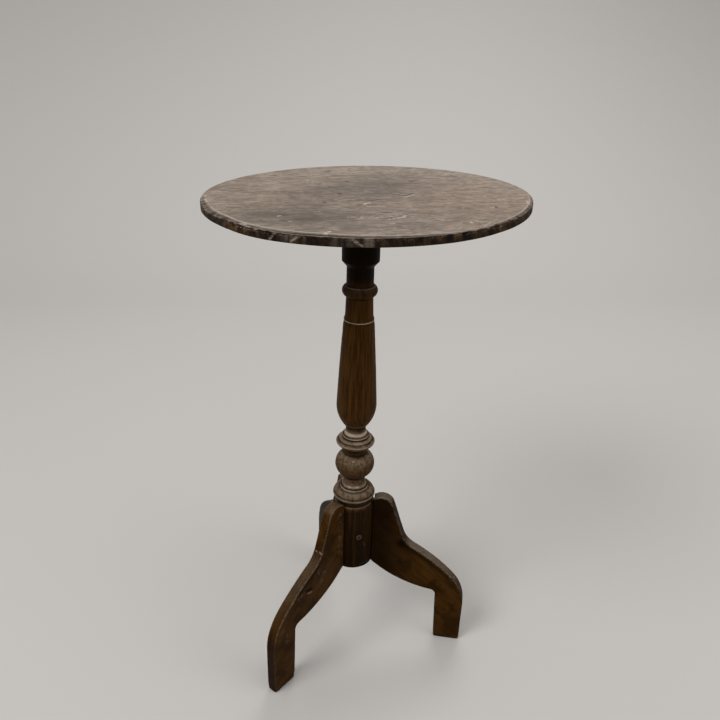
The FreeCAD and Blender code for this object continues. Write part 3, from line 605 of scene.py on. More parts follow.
# Soft patches of the top: middle and reach along X and Y in millimetres, and their amount
PATCHES = {
    "dark": (
        (14, 58, 72, 62, 0.44), (-92, -112, 85, 62, 0.44), (-66, -8, 70, 40, 0.22),
        (0, -140, 80, 55, 0.18), (110, -100, 75, 60, 0.2), (20, -20, 50, 30, 0.14),
        (110, 0, 60, 40, 0.06), (-88, 9, 24, 11, 0.2), (-57, 34, 24, 9, 0.18),
        (-120, -108, 24, 9, 0.18), (-70, -137, 26, 8, 0.2), (-80, -58, 20, 6, 0.16),
        (-172, 24, 14, 26, 0.16), (38, 50, 28, 20, 0.1), (90, -25, 28, 10, 0.2), (58, -154, 36, 7, 0.16),
    ),
    "pale": (
        # The first patch, along the far edge of the flat, is painted sheen; the others are paler wood.
        (10, 182, 170, 42, 0.26), (165, 70, 45, 60, 0.3), (30, -123, 20, 13, 0.22),
        (113, 114, 26, 18, 0.22), (68, -112, 36, 9, 0.18),
    ),
    "pink": (
        (122, -45, 95, 125, 0.9), (-40, -70, 60, 40, 0.25), (-120, -30, 80, 70, 0.35),
        (-134, 126, 10, 10, 0.9), (-126, -52, 32, 26, 0.25), (34, -109, 38, 14, 0.35),
        (123, -48, 32, 34, 0.3), (153, 56, 18, 18, 0.5),
    ),
}

# Stretches where the side of the rim is paler: azimuth, reach in degrees and amount
PALER_RIM = ((-13, 9, 0.5), (-172, 13, 0.35), (-98, 3, 0.25), (-113.5, 2, 0.35), (-91, 1.6, 0.4))

# Marks on the top and its rim: across and down in pixels of the photograph, along each one
PIT_PIXELS = (
    (345, 181, 347, 181.2), (326.5, 171.3, 329, 171), (339, 193.3, 340.5, 193.6), (324, 202, 325, 202.3),
    (410, 181, 412.5, 181), (496.4, 207, 497, 207.2), (452, 172.5), (269, 175.6, 275, 175.5),
)
SPLIT_PIXELS = (
    (347, 200.6, 356, 200.2, 372, 200.3, 378, 199.3, 382, 199.8),
    (391, 193.8, 400, 195.2, 405, 195.6, 409, 194.6, 414, 193),
    (357, 205, 363, 204, 370, 204.6, 377, 204.2), (329, 186.8, 336, 187, 343, 186.4),
    (383, 212.5, 391, 212.6), (470, 222.6, 480, 222.8),
)
LIGHT_CHIP_PIXELS = (
    (364.5, 203.8, 367, 202.8, 369.5, 202.6), (405, 196.6, 410, 195.6, 413.5, 193.9),
    (325.4, 234.6, 328, 232.4, 329.4, 231), (321.8, 236.2, 323.4, 235.2, 324.6, 234.2, 326.4, 232.2),
    (238.6, 223, 242, 224), (246.6, 226, 249.4, 226.8), (243, 223.4, 246, 225), (390, 224, 394, 223.4),
    (388.6, 219.4, 389.2, 219), (394, 218.4, 400, 217.6, 405, 216.8), (470, 222.8, 471.5, 222.2),
    (491.5, 207, 494.5, 206.8), (441.5, 220.2, 445, 219.6), (278, 215.8, 280, 215.6),
    (289.5, 221.2, 292, 221), (320.5, 212, 321.5, 212), (204.6, 195, 205.2, 195.4),
    (205.2, 199.2, 206.6, 202), (528, 200.8, 527.4, 203.4),
)
FLAKY_PIXELS = (
    (386, 217, 396, 216, 406, 215), (474, 222), (494, 206.5), (440, 219.6, 446, 219), (345, 218, 375, 217),
    (480, 196, 484, 197), (500, 199, 504, 200), (514, 193), (302, 182.5, 318, 183), (440, 176, 450, 174),
    (268, 174.5, 278, 173.5),
)
SIDE_CHIP_PIXELS = (
    (269, 239, 275, 233.5), (290, 241.5, 296, 237.5), (324, 235.6, 330, 231.6), (353, 240.5, 362, 246),
    (501, 226.5, 501.2, 230), (485, 225.4, 492, 222.4), (240, 222, 246, 225.5), (252, 228, 256, 229.5),
)

# Marks with their half widths in millimetres. All but the flaky patches need a finer mesh.
FINE_TOP_MARKS = ((PIT_PIXELS, 3), (SPLIT_PIXELS, 1.9), (LIGHT_CHIP_PIXELS, 2.4), (SIDE_CHIP_PIXELS, 2.2))
FLAKY_HALF_WIDTH = 9


def gathered(points, patches):
    """Sum of some soft round patches at each point."""
    total = np.zeros(len(points))
    for x, y, reach_x, reach_y, amount in patches:
        away = ((points[:, 0] - x) / reach_x) ** 2 + ((points[:, 1] - y) / reach_y) ** 2
        total += amount * np.exp(-away)
    return total


def paled(rim, azimuth, edge):
    """The stain of the rim, thinned where PALER_RIM says that its side is paler."""
    patches = smooth_step(-0.5, 0.3, noise(edge, 4, 17, 2))
    for middle, width, amount in PALER_RIM:
        away = (azimuth - middle + 180) % 360 - 180
        rim = rim * (1 - amount * np.exp(-(away / width) ** 2) * patches)
    return rim


def worn_disc(radius, height, thickness):
    """Mesh of the worn disc: rings of points from its middle over the rim to its underside."""
    turn = np.arange(TOP_SEGMENTS) * 2 * math.pi / TOP_SEGMENTS
    across, along = np.cos(turn), np.sin(turn)
    azimuth = np.degrees(turn)
    azimuths, *columns = np.array(RIM_WEAR).T
    loss, band, drop, groove, chips, line = (
        np.interp(azimuth, azimuths, column, period=360) for column in columns
    )
    rings = []

    def at(reach, depth):
        return np.stack(np.broadcast_arrays(reach * across, reach * along, height - depth), axis=1)

    def chipped(depth):
        return chips * smooth_step(-0.1, 0.25, noise(at(radius, depth * 1.5), 6.5, 8, 3))

    def add(reach, depth, rim=0, worn=0, grime=0):
        rings.append(np.stack(np.broadcast_arrays(reach, depth, rim, worn, grime)))

    edge = at(radius, 0)
    outer = radius - loss * (1 + 0.06 * noise(edge, 16, 5, 2))
    inner = outer - band * (1 + 0.16 * noise(edge, 11, 6, 2))
    run = outer - LIP_RADIUS - inner
    dark = np.clip(smooth_step(0.6, 1.5, drop) + 0.5 * chips, 0, 1)
    dark *= 0.5 + 0.42 * smooth_step(-0.3, 0.3, noise(edge, 5, 11, 2))
    dark_start = 1 - 0.35 * chips * (0.6 + noise(edge, 4.5, 13, 3))

    # The flat and its arris
    for share in np.linspace(0, 1, int(radius / TOP_STEP))[1:]:
        reach = share * (inner - ARRIS_WIDTH)
        add(reach, FLAT_DIP * (1 + noise(at(reach, 0), (70, 26, 40), 9, 2)) * (1 - share ** 8))
    add(inner - ARRIS_WIDTH / 2, 0, worn=0.7 * line)

    # The worn band, with its groove and chips
    for share in np.linspace(0, 1, BAND_RINGS):
        well = groove * math.exp(-((share - 0.5) / 0.24) ** 2)
        depth = drop * share + GROOVE_DEPTH * well + CHIP_DROP * chipped(drop) * share ** 2
        stain = smooth_step(dark_start - 0.1, dark_start + 0.1, share)
        stain = np.maximum(dark * smooth_step(0.05, 0.5, share), stain)
        rubbed = 0.9 * math.exp(-((1 - share) / 0.24) ** 2) * (1 - stain)
        worn = line * math.exp(-(share / 0.13) ** 2) + rubbed
        add(inner + run * share, depth, stain * min(1, 20 * share), worn, 1.2 * well)

    # The lip, the side and the edge of the underside
    _, band_depth, stain, _, _ = rings[-1]
    chip = chipped(band_depth)
    for sine, cosine in quarter(LIP_RINGS)[1:]:
        reach = outer - LIP_RADIUS * (1 - sine) - CHIP_DEPTH * chip * sine
        stain = np.maximum(stain, sine)
        add(reach, band_depth + LIP_RADIUS * (1 - cosine), stain, 0.8 * (1 - stain) + 0.8 * chip)
    start = rings[-1][1]
    for step in range(1, SIDE_RINGS + 1):
        depth = start + (thickness - FOOT_RADIUS - start) * step / SIDE_RINGS
        chip = chipped(depth) * smooth_step(8, 3.5, depth)
        ribs = RIB_DEPTH * (1 + noise(at(outer, depth), (3, 3, 30), 10, 2))
        add(outer - CHIP_DEPTH * chip - ribs, depth, 1, chip + 0.7 * chips * smooth_step(0.6, 1, chips))
    for sine, cosine in quarter(FOOT_RINGS)[1:]:
        add(outer - RIB_SHIFT - FOOT_RADIUS * (1 - cosine), thickness - FOOT_RADIUS * (1 - sine), 1)
    for share in np.linspace(1, 0, UNDERSIDE_RINGS)[1:-1]:
        add(share * (outer - FOOT_RADIUS - 1), thickness, 0.6)

    reach, depth, rim, worn, grime = np.array(rings).transpose(1, 0, 2)
    points = np.stack([reach * across, reach * along, height - depth], axis=2).reshape(-1, 3)
    points = np.concatenate([points, [[0, 0, height], [0, 0, height - thickness]]])
    mesh = new_mesh("disc", points, ring_faces(len(rings), TOP_SEGMENTS))
    values = {"worn": worn, "grime": grime, "low": smooth_step(2.5, 5, depth)}
    values["rim"] = paled(rim, azimuth, edge)
    store(mesh, **{name: np.append(numbers, [0, 0]) for name, numbers in values.items()})
    return mesh


def refined(mesh, lines, reach):
    """Split the long edges near some lines, so that small marks have a shape."""
    shape = bmesh.new()
    shape.from_mesh(mesh)
    for _ in range(2):
        points = np.array([vertex.co for vertex in shape.verts]) / MM
        near = np.zeros(len(points), bool)
        for line in lines:
            near |= reach_from(points, line) < reach
        shape.verts.index_update()
        edges = [
            edge for edge in shape.edges
            if edge.calc_length() > FINE_EDGE * MM and any(near[vertex.index] for vertex in edge.verts)
        ]
        bmesh.ops.subdivide_edges(shape, edges=edges, cuts=1, use_grid_fill=True)
    shape.to_mesh(mesh)
    shape.free()


def mark_top(mesh):
    """Sink the pits, splits and chips, and store where they and the flaky patches are."""
    seen = [seen_on(mesh, lines) for lines, _ in FINE_TOP_MARKS]
    flaky = seen_on(mesh, FLAKY_PIXELS)
    refined(mesh, [line for lines in seen for line in lines], FINE_REACH)
    points = points_of(mesh)
    pit, split, light, side = (
        marked(points, lines, half_width) for lines, (_, half_width) in zip(seen, FINE_TOP_MARKS)
    )
    patch = marked(points, flaky, FLAKY_HALF_WIDTH)
    rough = smooth_step(-0.2, 0.7, noise(points, (4, 2.4, 2.4), 12, 2)) * patch
    points[:, 2] -= PIT_DEPTH * pit + SPLIT_DEPTH * split + FLAKE_DEPTH * (light + rough)
    reach = np.hypot(points[:, 0], points[:, 1])
    points[:, :2] *= (1 - SIDE_CHIP_DEPTH * side / np.maximum(reach, 1))[:, None]
    set_points(mesh, points)
    grime = read(mesh.attributes["grime"].data, "value", 1)[:, 0]
    store(mesh, grime=grime + 0.95 * pit + split, flake=light + 0.7 * side, flaky=patch)


def make_top(material):
    high = np.array(CAD_BOX[1]) / MM
    front_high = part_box("top_board_front")[1] / MM
    rear_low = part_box("top_board_rear")[0] / MM
    whole = worn_disc(high[0], high[2], high[2] - rear_low.z)
    mark_top(whole)
    boards = (("top_board_front", True, front_high.y), ("top_board_rear", False, rear_low.y))
    for name, keep_front, joint in boards:
        shape = bmesh.new()
        shape.from_mesh(whole)
        place = (0, joint * MM, 0)
        border = sliced(shape, place, (0, 1, 0), clear_outer=keep_front, clear_inner=not keep_front)
        bmesh.ops.edgeloop_fill(shape, edges=border)
        bmesh.ops.recalc_face_normals(shape, faces=shape.faces)
        mesh = bpy.data.meshes.new(name)
        shape.to_mesh(mesh)
        shape.free()
        points = points_of(mesh)
        set_grain(mesh, points)
        store(mesh, **{name: gathered(points, patches) for name, patches in PATCHES.items()})
        piece("worn_" + name, mesh, material, name, sharp=35)
    bpy.data.meshes.remove(whole)


# The turned column

COLUMN_SEGMENTS = 160

# Steps along the outline: above the mouldings, and up to their top.
COLUMN_STEP = 2.4
MOULDING_STEP = 1
MOULDING_TOP = 400

# The outline is read between two legs, and its corners are rounded over this reach.
SLICE_AZIMUTH = 20
CORNER_REACH = 0.4

# Depths of the wear in millimetres.
RIDGE_DEPTH = 0.22
DENT_DEPTH = 0.25
OVAL_DEPTH = 0.3
NICK_DEPTH = 0.6

# Height on the column's axis, and how dark the wood is there (painted shade over some dark stain under the
# top, and a darker hub low down), and how dusty it is there.
SHADE_SHARES = (
    (140, 0.88), (200, 0.76), (250, 0.64), (254, 0.55), (256, 0.1), (380, 0), (560, 0), (583, 0.15),
    (600, 0.35), (612, 0.95), (640, 1), (700, 1),
)
DUST_SHARES = (
    (140, 0.03), (250, 0.05), (254, 0.08), (255.4, 0.34), (257, 0.2), (260, 0.05), (266, 0.15),
    (267.5, 0.5), (269, 0.5), (271, 0.85), (283, 1), (292, 1), (300, 0.45), (318, 0.45), (328, 0.85),
    (339, 0.9), (343, 0.3), (352, 0.3), (354, 0.85), (380, 1), (386, 0.3), (400, 0.06), (560, 0),
    (586, 0.05), (592, 0.15), (600, 0.2), (602, 0.05), (700, 0),
)

# Levels of the rubbed edges, with painted highlights on them, and of the dark grooves, with dirt and
# painted shade under the rings: height, reach above and below, and amount
RUBBED_AND_HIGHLIGHT_LEVELS = (
    (255.6, 0.9, 0.15), (268, 1.2, 0.5), (280.6, 1.5, 1), (285.6, 2.6, 0.3), (354.8, 1.6, 0.5),
    (359.4, 1.4, 0.4), (364.9, 1, 0.3), (369.5, 1.1, 1), (374.9, 3.1, 1), (390.5, 1.4, 0.3),
    (551.2, 1.2, 0.9), (599.6, 1, 0.25),
)
GRIME_AND_SHADE_LEVELS = (
    (257.4, 2, 1), (262.5, 3.5, 0.75), (271.2, 2.2, 1), (278.9, 0.8, 0.6), (282.6, 1.3, 1), (298.6, 2.2, 1),
    (340.8, 4.2, 0.7), (347, 5, 0.6), (363.2, 1.3, 1), (367.2, 1.3, 0.9), (371.4, 1.1, 1),
    (383.5, 4.5, 0.8), (549.6, 1.2, 0.8), (585.2, 1.4, 0.9),
)

# Marks on the column, in pixels of the photograph along each one
NICK_PIXELS = ((363.4, 542.5, 365, 545.5), (360.4, 563.5, 363.5, 562.5))
# Light spots: the pair at the rim of the cove are painted highlights, the others light specks.
SPECK_AND_HIGHLIGHT_PIXELS = (
    (353, 462, 353.4, 462.2), (342.6, 478, 343.4, 478.6), (364.6, 478, 365.6, 478.6),
    (349, 487, 358, 487.4),
)


def slice_outline(node, azimuth):
    """Radius and height of the points where a half plane through the axis meets a turned node."""
    mesh = closed_copy(node)
    set_points(mesh, to_axis(points_of(mesh)))
    shape = bmesh.new()
    shape.from_mesh(mesh)
    turn = math.radians(azimuth)
    outward = Vector((math.cos(turn), math.sin(turn), 0))
    links = {}
    for edge in sliced(shape, (0, 0, 0), (-math.sin(turn), math.cos(turn), 0)):
        for vertex in edge.verts:
            links.setdefault(vertex, []).append(edge.other_vert(vertex))
    outer = [v for v in links if v.co.dot(outward) > 0]
    route = [min(outer, key=lambda v: (round(v.co.z, 5), -v.co.dot(outward)))]
    while True:
        ways = [v for v in links[route[-1]] if v not in route and v.co.dot(outward) > 0]
        if not ways:
            break
        route.append(max(ways, key=lambda v: v.co.dot(outward)) if len(route) == 1 else ways[0])
    outline = np.array([(v.co.dot(outward) / MM, v.co.z / MM) for v in route])
    shape.free()
    return outline


def eased(outline, reach):
    """The outline with its sharp corners rounded over a short reach."""
    result = [outline[0]]
    for before, here, after in zip(outline, outline[1:], outline[2:]):
        back, ahead = before - here, after - here
        long_back, long_ahead = np.linalg.norm(back), np.linalg.norm(ahead)
        turn = math.pi - math.acos(np.clip(back @ ahead / (long_back * long_ahead), -1, 1))
        if turn < math.radians(25):
            result.append(here)
            continue
        start = here + back * min(reach / long_back, 0.4)
        end = here + ahead * min(reach / long_ahead, 0.4)
        result += [start, start / 4 + here / 2 + end / 4, end]
    return np.array(result + [outline[-1]])


def at_levels(height, levels):
    """Greatest amount, at some heights, of the bands that a table of levels lists."""
    total = np.zeros(len(height))
    for level, reach, amount in levels:
        total = np.maximum(total, amount * smooth_step(reach, reach * 0.3, np.abs(height - level)))
    return total


def filled(outline):
    """The outline with more points, close together where the mouldings are."""
    result = [outline[0]]
    for here, after in zip(outline, outline[1:]):
        step = MOULDING_STEP if here[1] < MOULDING_TOP else COLUMN_STEP
        parts = max(1, math.ceil(np.linalg.norm(after - here) / step))
        result += [here + (after - here) * part / parts for part in range(1, parts + 1)]
    return np.array(result)


def bend_of(outline, reach):
    """How far the outline turns, in degrees, within a reach of each point. Convex is positive."""
    along = np.concatenate([[0], np.cumsum(np.linalg.norm(np.diff(outline, axis=0), axis=1))])

    def at(distance):
        return np.stack([np.interp(distance, along, outline[:, axis]) for axis in (0, 1)], axis=1)

    back = at(along) - at(along - reach)
    ahead = at(along + reach) - at(along)
    cross = back[:, 0] * ahead[:, 1] - back[:, 1] * ahead[:, 0]
    return np.degrees(np.arctan2(cross, (back * ahead).sum(axis=1)))


def spun(outline, segments):
    """Closed mesh of an outline of radius and height, turned about the Z axis, in millimetres."""
    turn = np.arange(segments) * 2 * math.pi / segments
    rings = np.zeros((len(outline), segments, 3))
    rings[:, :, 0] = outline[:, 0][:, None] * np.cos(turn)
    rings[:, :, 1] = outline[:, 0][:, None] * np.sin(turn)
    rings[:, :, 2] = outline[:, 1][:, None]
    ends = np.array([[0, 0, outline[0, 1]], [0, 0, outline[-1, 1]]])
    return np.concatenate([rings.reshape(-1, 3), ends]), ring_faces(len(outline), segments)


def cut_away(mesh, nodes):
    """The mesh with the solids of some nodes taken out of it."""
    thing = new_object("whole", mesh)
    cutters = [new_object(node + "_cutter", closed_copy(node)) for node in nodes]
    for cutter in cutters:
        modifier = thing.modifiers.new(cutter.name, "BOOLEAN")
        modifier.operation = "DIFFERENCE"
        modifier.solver = "EXACT"
        modifier.object = cutter
    result = evaluated(thing)
    for cutter in cutters:
        bpy.data.objects.remove(cutter)
    return result


def worn_column(outline):
    """Mesh of the column, a little worn, with its sockets, wedge slot and peg holes cut in."""
    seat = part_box("cleat")[0].z / MM
    tenon_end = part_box("column")[1].z / MM
    points, faces = spun(outline, COLUMN_SEGMENTS)

    # Grain ridges, dents and a little loss of roundness, all inwards and none above the seat
    out = points * (1, 1, 0)
    reach = np.linalg.norm(out, axis=1)
    out /= np.maximum(reach, 0.001)[:, None]
    free = smooth_step(2, 8, reach) * (1 - smooth_step(seat - 3, seat - 1.5, points[:, 2]))
    ridges = smooth_step(-0.1, 0.7, noise(points, (2.4, 2.4, 46), 3, 2))
    dents = smooth_step(0.2, 0.8, noise(points, 11, 4, 2))
    oval = 0.5 + 0.5 * np.cos(2 * np.arctan2(points[:, 1], points[:, 0]) + 0.8)
    loss = RIDGE_DEPTH * ridges + DENT_DEPTH * dents + OVAL_DEPTH * oval
    points -= out * (loss * free)[:, None]

    # The seat and the tenon's end are level, although the column leans
    placed = from_axis(points)
    level = points[:, 2]
    on_seat = np.abs(level - seat) < 1.2
    placed[on_seat, 2] = np.where(reach[on_seat] > 15, seat, placed[on_seat, 2])
    placed[level > tenon_end - 0.9, 2] = tenon_end
    legs = list(LEG_AZIMUTHS)
    pegs = [leg.replace("leg", "peg") for leg in legs]
    return cut_away(new_mesh("column", placed, faces), legs + ["tenon_wedge"] + pegs)


def mark_column(mesh, outline):
    """Sink the nicks, and store the grain, the painted shade, the dust, the rubbed edges and painted
    highlights, and the grooves' dirt and painted shade.
    """
    points = points_of(mesh)
    normals = normals_of(mesh)
    local = to_axis(points)
    height = local[:, 2]
    nicks = marked(points, seen_on(mesh, NICK_PIXELS), 2.2)
    # Painted highlights at the rim of the cove, and light specks.
    specks_and_highlights = marked(points, seen_on(mesh, SPECK_AND_HIGHLIGHT_PIXELS), 1.7)

    tree = KDTree(len(outline))
    for index, (reach, level) in enumerate(outline):
        tree.insert((reach, level, 0), index)
    tree.balance()
    nearest = [tree.find((math.hypot(x, y), level, 0))[1] for x, y, level in local]
    bend = bend_of(outline, 1.1)[nearest]

    set_grain(mesh, local[:, [2, 0, 1]])
    # By height: painted shade over some dark stain under the top, a darker hub low down, and the dust.
    shade, dust = (np.interp(height, *np.array(shares).T) for shares in (SHADE_SHARES, DUST_SHARES))
    dust = dust * (0.92 + 0.35 * noise(local, (15, 15, 9), 19, 3))
    uneven = smooth_step(-0.5, 0.3, noise(local, (12, 12, 3), 15, 3))
    # Rubbed edges, with painted highlights along them.
    rubbed = at_levels(height, RUBBED_AND_HIGHLIGHT_LEVELS) * (0.55 + 0.45 * uneven)
    # Dirt in the grooves, and painted shade under the rings.
    grime_and_shade_bands = at_levels(height, GRIME_AND_SHADE_LEVELS) * (1 - 0.3 * uneven)
    # Convex edges get wear and painted highlights, but not where painted shade or the dark bands are.
    edge_wear_and_highlight = 0.4 * smooth_step(25, 70, bend) * (1 - shade) * (1 - grime_and_shade_bands)
    upward = smooth_step(0, 0.7, normals[:, 2])
    # Hollows of the outline are darkened with dirt and painted shade.
    store(
        mesh, worn=edge_wear_and_highlight + rubbed + 0.5 * specks_and_highlights, grime=smooth_step(25, 60, -bend) + grime_and_shade_bands,
        shade=shade, dust=dust * (0.4 + 0.6 * upward) + 0.15 * nicks,
    )
    set_points(mesh, points - normals * (NICK_DEPTH * nicks)[:, None])


def make_column(material):
    outline = filled(eased(slice_outline("column", SLICE_AZIMUTH), CORNER_REACH))
    mesh = worn_column(outline)
    mark_column(mesh, outline)
    piece("turned_column", mesh, material, "column", sharp=40)


# The legs, the cleat, the pegs and the small parts

def worn_solid(node, voxel, rounds, keep, seed, foot_rounds=0):
    """Even mesh of a node with its edges rubbed down unevenly, and how rubbed each point is."""
    mesh = remeshed(node, voxel)
    points = points_of(mesh)
    edges = read(mesh.edges, "vertices", 2, np.int32)
    normals = normals_of(mesh)
    soft = relax(points, edges, rounds)
    pull = ((points - soft) * normals).sum(axis=1)
    near_floor = smooth_step(18, 6, points[:, 2])[:, None] * (foot_rounds > 0)
    soft += (relax(soft, edges, foot_rounds) - soft) * near_floor
    amount = (0.25 + 0.75 * smooth_step(-0.2, 0.6, noise(points, 26, seed, 2))) * keep(points)
    amount = np.maximum(amount, near_floor[:, 0])
    wavy = smooth_step(-0.4, 0.9, noise(points, 34, seed + 1, 2)) * 0.35 * keep(points)
    points += (soft - points) * amount[:, None] * 0.8 - normals * wavy[:, None]
    set_points(mesh, points)
    return mesh, points, pull


HUB_RADIUS = 32.3

# How steeply the grain of the legs' boards falls outwards
LEG_GRAIN_TURN = math.radians(42)

# How much painted shade darkens each leg, beside the hub and further out
LEG_SHADES = {"leg_right": (0.85, 0), "leg_rear": (0.6, 0.7), "leg_left": (0, 0)}

# How far out from the axis the dust of the upper faces is given, and how thick it is there
TOP_DUST_REACH = (60, 120, 165)
TOP_DUST = {"leg_right": (0.8, 0.88, 0.6), "leg_rear": (0.5, 0.6, 0.4), "leg_left": (0.32, 0.28, 0.05)}

# Marks on the legs, in pixels of the photograph along each one
KNOT_PIXELS = {"leg_left": ((307.4, 591, 309.6, 589.8, 311.4, 588.6),)}
CRACK_PIXELS = {"leg_left": ((318.9, 566, 311.4, 577.6, 303.6, 588.6, 297.4, 597),)}
LEG_CHIP_PIXELS = {
    "leg_left": (
        (316, 551, 316.8, 551.6), (319.8, 552.8, 321.8, 554.4), (308.4, 593.6, 311.6, 592),
    ),
    "leg_right": ((454, 577, 455, 578),),
    "leg_rear": ((322.6, 509.6, 322.8, 510.4), (320.8, 515.6, 321, 516.4)),
}
DUSTY_LEG_PIXELS = {
    "leg_left": (
        (330, 506, 334, 505), (330, 509, 333, 511), (315, 578, 318, 573.6), (297, 601, 304, 595.4),
        (320.6, 586, 324, 573), (280, 640, 284, 628), (288, 640, 288.4, 634),
        (340, 516, 340.4, 538, 340, 554),
    ),
    "leg_right": ((446, 568, 453, 579),),
}
# A darker band along the upper edge of the right leg's front face
DARK_LEG_PIXELS = {"leg_right": ((404, 544, 418, 551, 431, 559, 444, 569.5, 454, 583),)}

# Marks with their half widths, and depths, in millimetres
LEG_MARKS = (
    (KNOT_PIXELS, 3.4), (CRACK_PIXELS, 1.5), (LEG_CHIP_PIXELS, 2.2), (DUSTY_LEG_PIXELS, 7),
    (DARK_LEG_PIXELS, 17),
)
KNOT_DEPTH = 1.3
CRACK_DEPTH = 0.5


def mark_leg(mesh, points, node, azimuth, pull):
    """Sink the knots, cracks and chips, and store the grain, the painted shade and a darker band, the dust
    and the wear.
    """
    local = leg_frame(points, azimuth)
    along, across = turned(local[:, 0], local[:, 2], LEG_GRAIN_TURN)
    set_grain(mesh, np.stack([along, across, local[:, 1]], axis=1))
    knots, cracks, chips, dusty, dark_edge_band = (
        marked(points, seen_on(mesh, pixels.get(node, ())), half_width) for pixels, half_width in LEG_MARKS
    )
    normals = normals_of(mesh)
    from_hub = np.hypot(local[:, 0], local[:, 1]) - HUB_RADIUS
    outward, _ = turned(normals[:, 0], normals[:, 1], -math.radians(azimuth))
    low = smooth_step(125, 85, points[:, 2])
    # Painted shade on the lower legs' outward faces, which stand in shade.
    shin_shade = smooth_step(0.5, 0.9, outward) * low
    # Painted shade from LEG_SHADES: the right leg darkest beside the hub, and the rear leg all over.
    inner_shade, outer_shade = LEG_SHADES[node]
    shade = outer_shade + (inner_shade - outer_shade) * smooth_step(115, 45, local[:, 0])
    dusty *= smooth_step(-0.2, 0.5, noise(points, 4, 27, 3))
    top_dust = np.interp(local[:, 0], TOP_DUST_REACH, TOP_DUST[node])
    # The darker band along the right leg's upper edge is added to the shade.
    store(
        mesh, flake=chips, grime=knots + 0.8 * cracks, shade=shade + 0.75 * shin_shade + 0.55 * dark_edge_band,
        worn=smooth_step(0.1, 0.42, pull) * smooth_step(1.5, 6, from_hub) * (1 - 0.6 * low),
        dust=top_dust * smooth_step(0.35, 0.8, normals[:, 2]) + 0.45 * dusty,
    )
    set_points(mesh, points - normals * (KNOT_DEPTH * knots + CRACK_DEPTH * (cracks + chips))[:, None])


def make_leg(node, azimuth, material):
    def outside_hub(points):
        local = leg_frame(points, azimuth)
        return smooth_step(HUB_RADIUS - 0.5, HUB_RADIUS + 3, np.hypot(local[:, 0], local[:, 1]))

    mesh, points, pull = worn_solid(node, 1, 7, outside_hub, 7, foot_rounds=50)
    points[:, 2] = np.where(points[:, 2] < 0.7, 0, points[:, 2])
    set_points(mesh, points)
    mark_leg(mesh, points, node, azimuth, pull)
    piece("sawn_" + node, mesh, material, node)


# Where the column's bore goes through the cleat, which stays unworn around it
CLEAT_BORE_X = -5.7


def make_cleat(material):
    def away_from_seat(points):
        return smooth_step(30, 40, np.hypot(points[:, 0] - CLEAT_BORE_X, points[:, 1]))

    mesh, points, _ = worn_solid("cleat", 1.1, 6, away_from_seat, 21)
    set_grain(mesh, points[:, [1, 0, 2]])
    piece("sawn_cleat", mesh, material, "cleat")


PEG_SEGMENTS = 48
PEG_FACETS = 8
PEG_DOME = 0.9


def make_peg(node, azimuth, material):
    local = leg_frame(points_of(closed_copy(node)), azimuth)
    low, high = local.min(axis=0), local.max(axis=0)
    middle = (low + high) / 2
    radius = (high[1] - low[1]) / 2
    length = high[0] - low[0]
    outline = [(radius - 0.4, 0), (radius, 0.4)]
    outline += [(radius, length * share) for share in (0.2, 0.4, 0.6, 0.8)]
    for sine, cosine in quarter(6):
        outline.append((radius * (0.86 + 0.14 * cosine), length - PEG_DOME * (1 - sine)))
    outline += [(radius * share, length - 0.25 * (1 - share)) for share in (0.7, 0.5, 0.3, 0.15)]
    points, faces = spun(np.array(outline), PEG_SEGMENTS)
    facets = 0.5 + 0.5 * np.cos(PEG_FACETS * np.arctan2(points[:, 1], points[:, 0]))
    points[:, :2] *= (1 - 0.04 * facets)[:, None]
    x, y = turned(points[:, 2] + low[0], points[:, 0] + middle[1], math.radians(azimuth))
    placed = np.stack([x, y, points[:, 1] + middle[2]], axis=1)
    mesh = new_mesh(node, from_axis(placed), faces)
    store(mesh, ring=np.hypot(points[:, 0], points[:, 1]) / radius)
    piece("whittled_" + node, mesh, material, node, sharp=50)


def finish_node(node, material):
    """Give a node that stays as it is a better material."""
    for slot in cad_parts[node].material_slots:
        slot.material = material


# Stage and light

# Colour of the floor as it is seen and mirrored, and as it lights the table.
FLOOR_COLOR = (0.58, 0.565, 0.545)
FLOOR_BOUNCE = (0.3, 0.285, 0.265)

WORLD_COLOR = (1, 0.985, 0.965, 1)
WORLD_STRENGTH = 0.55


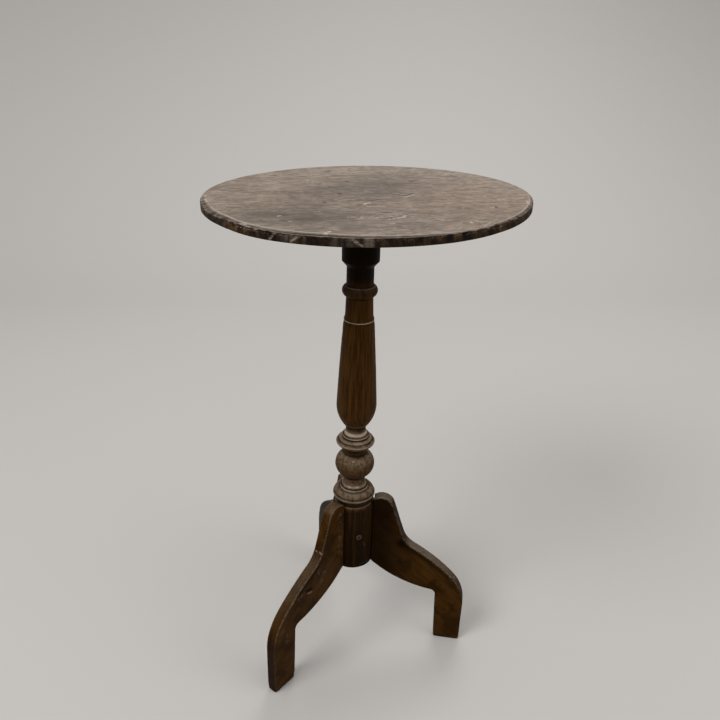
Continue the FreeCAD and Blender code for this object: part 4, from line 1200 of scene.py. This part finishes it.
def make_stage():
    """Pale floor that curves up into a pale backdrop."""
    make = Shader("pale_floor")
    rays = make.node("ShaderNodeLightPath").outputs
    seen = make.math("ADD", rays["Is Camera Ray"], rays["Is Glossy Ray"], clamp=True)
    make.finish(make.mix(seen, FLOOR_BOUNCE, FLOOR_COLOR), 0.9)
    half_width, front, bend_start, bend_radius, wall_height = 14, -12, 1.6, 1.2, 5
    rows = [(front, 0)]
    for sine, cosine in quarter(12):
        rows.append((bend_start + bend_radius * sine, bend_radius * (1 - cosine)))
    rows.append((bend_start + bend_radius, wall_height))
    points = [(side * half_width, y, z) for y, z in rows for side in (-1, 1)]
    faces = [(2 * row, 2 * row + 1, 2 * row + 3, 2 * row + 2) for row in range(len(rows) - 1)]
    mesh = bpy.data.meshes.new("floor")
    mesh.from_pydata(points, [], faces)
    mesh.shade_smooth()
    mesh.materials.append(make.material)
    new_object("floor", mesh)

    world = bpy.data.worlds.new("studio")
    bpy.context.scene.world = world
    world.use_nodes = True
    background = world.node_tree.nodes["Background"]
    background.inputs["Color"].default_value = WORLD_COLOR
    background.inputs["Strength"].default_value = WORLD_STRENGTH


# Name, place, width and power of each soft lamp. All of them face the middle of the table.
LAMPS = (
    ("key", (-2, -1.6, 3.2), 1.8, 60), ("fill", (2.4, -1.2, 1.6), 2, 14), ("back", (0.6, 2, 2.6), 1.8, 26),
)
TABLE_MIDDLE = Vector((0, 0, 0.4))


def make_lights():
    for name, place, width, power in LAMPS:
        data = bpy.data.lights.new(name, "AREA")
        data.shape = "DISK"
        data.size = width
        data.energy = power
        lamp = new_object(name, data)
        lamp.location = place
        lamp.rotation_mode = "QUATERNION"
        lamp.rotation_quaternion = (TABLE_MIDDLE - Vector(place)).to_track_quat("-Z", "Y")


make_camera()
make_stage()
make_lights()
make_top(top_material())
make_column(turned_material())
leg_wood = leg_material()
peg_wood = peg_material()
for node, azimuth in LEG_AZIMUTHS.items():
    make_leg(node, azimuth, leg_wood)
    make_peg(node.replace("leg", "peg"), azimuth + 180, peg_wood)
make_cleat(cleat_material())
finish_node("tenon_wedge", wedge_material())
finish_node("cleat_screws", iron_material())

bpy.context.scene.view_settings.view_transform = "Standard"
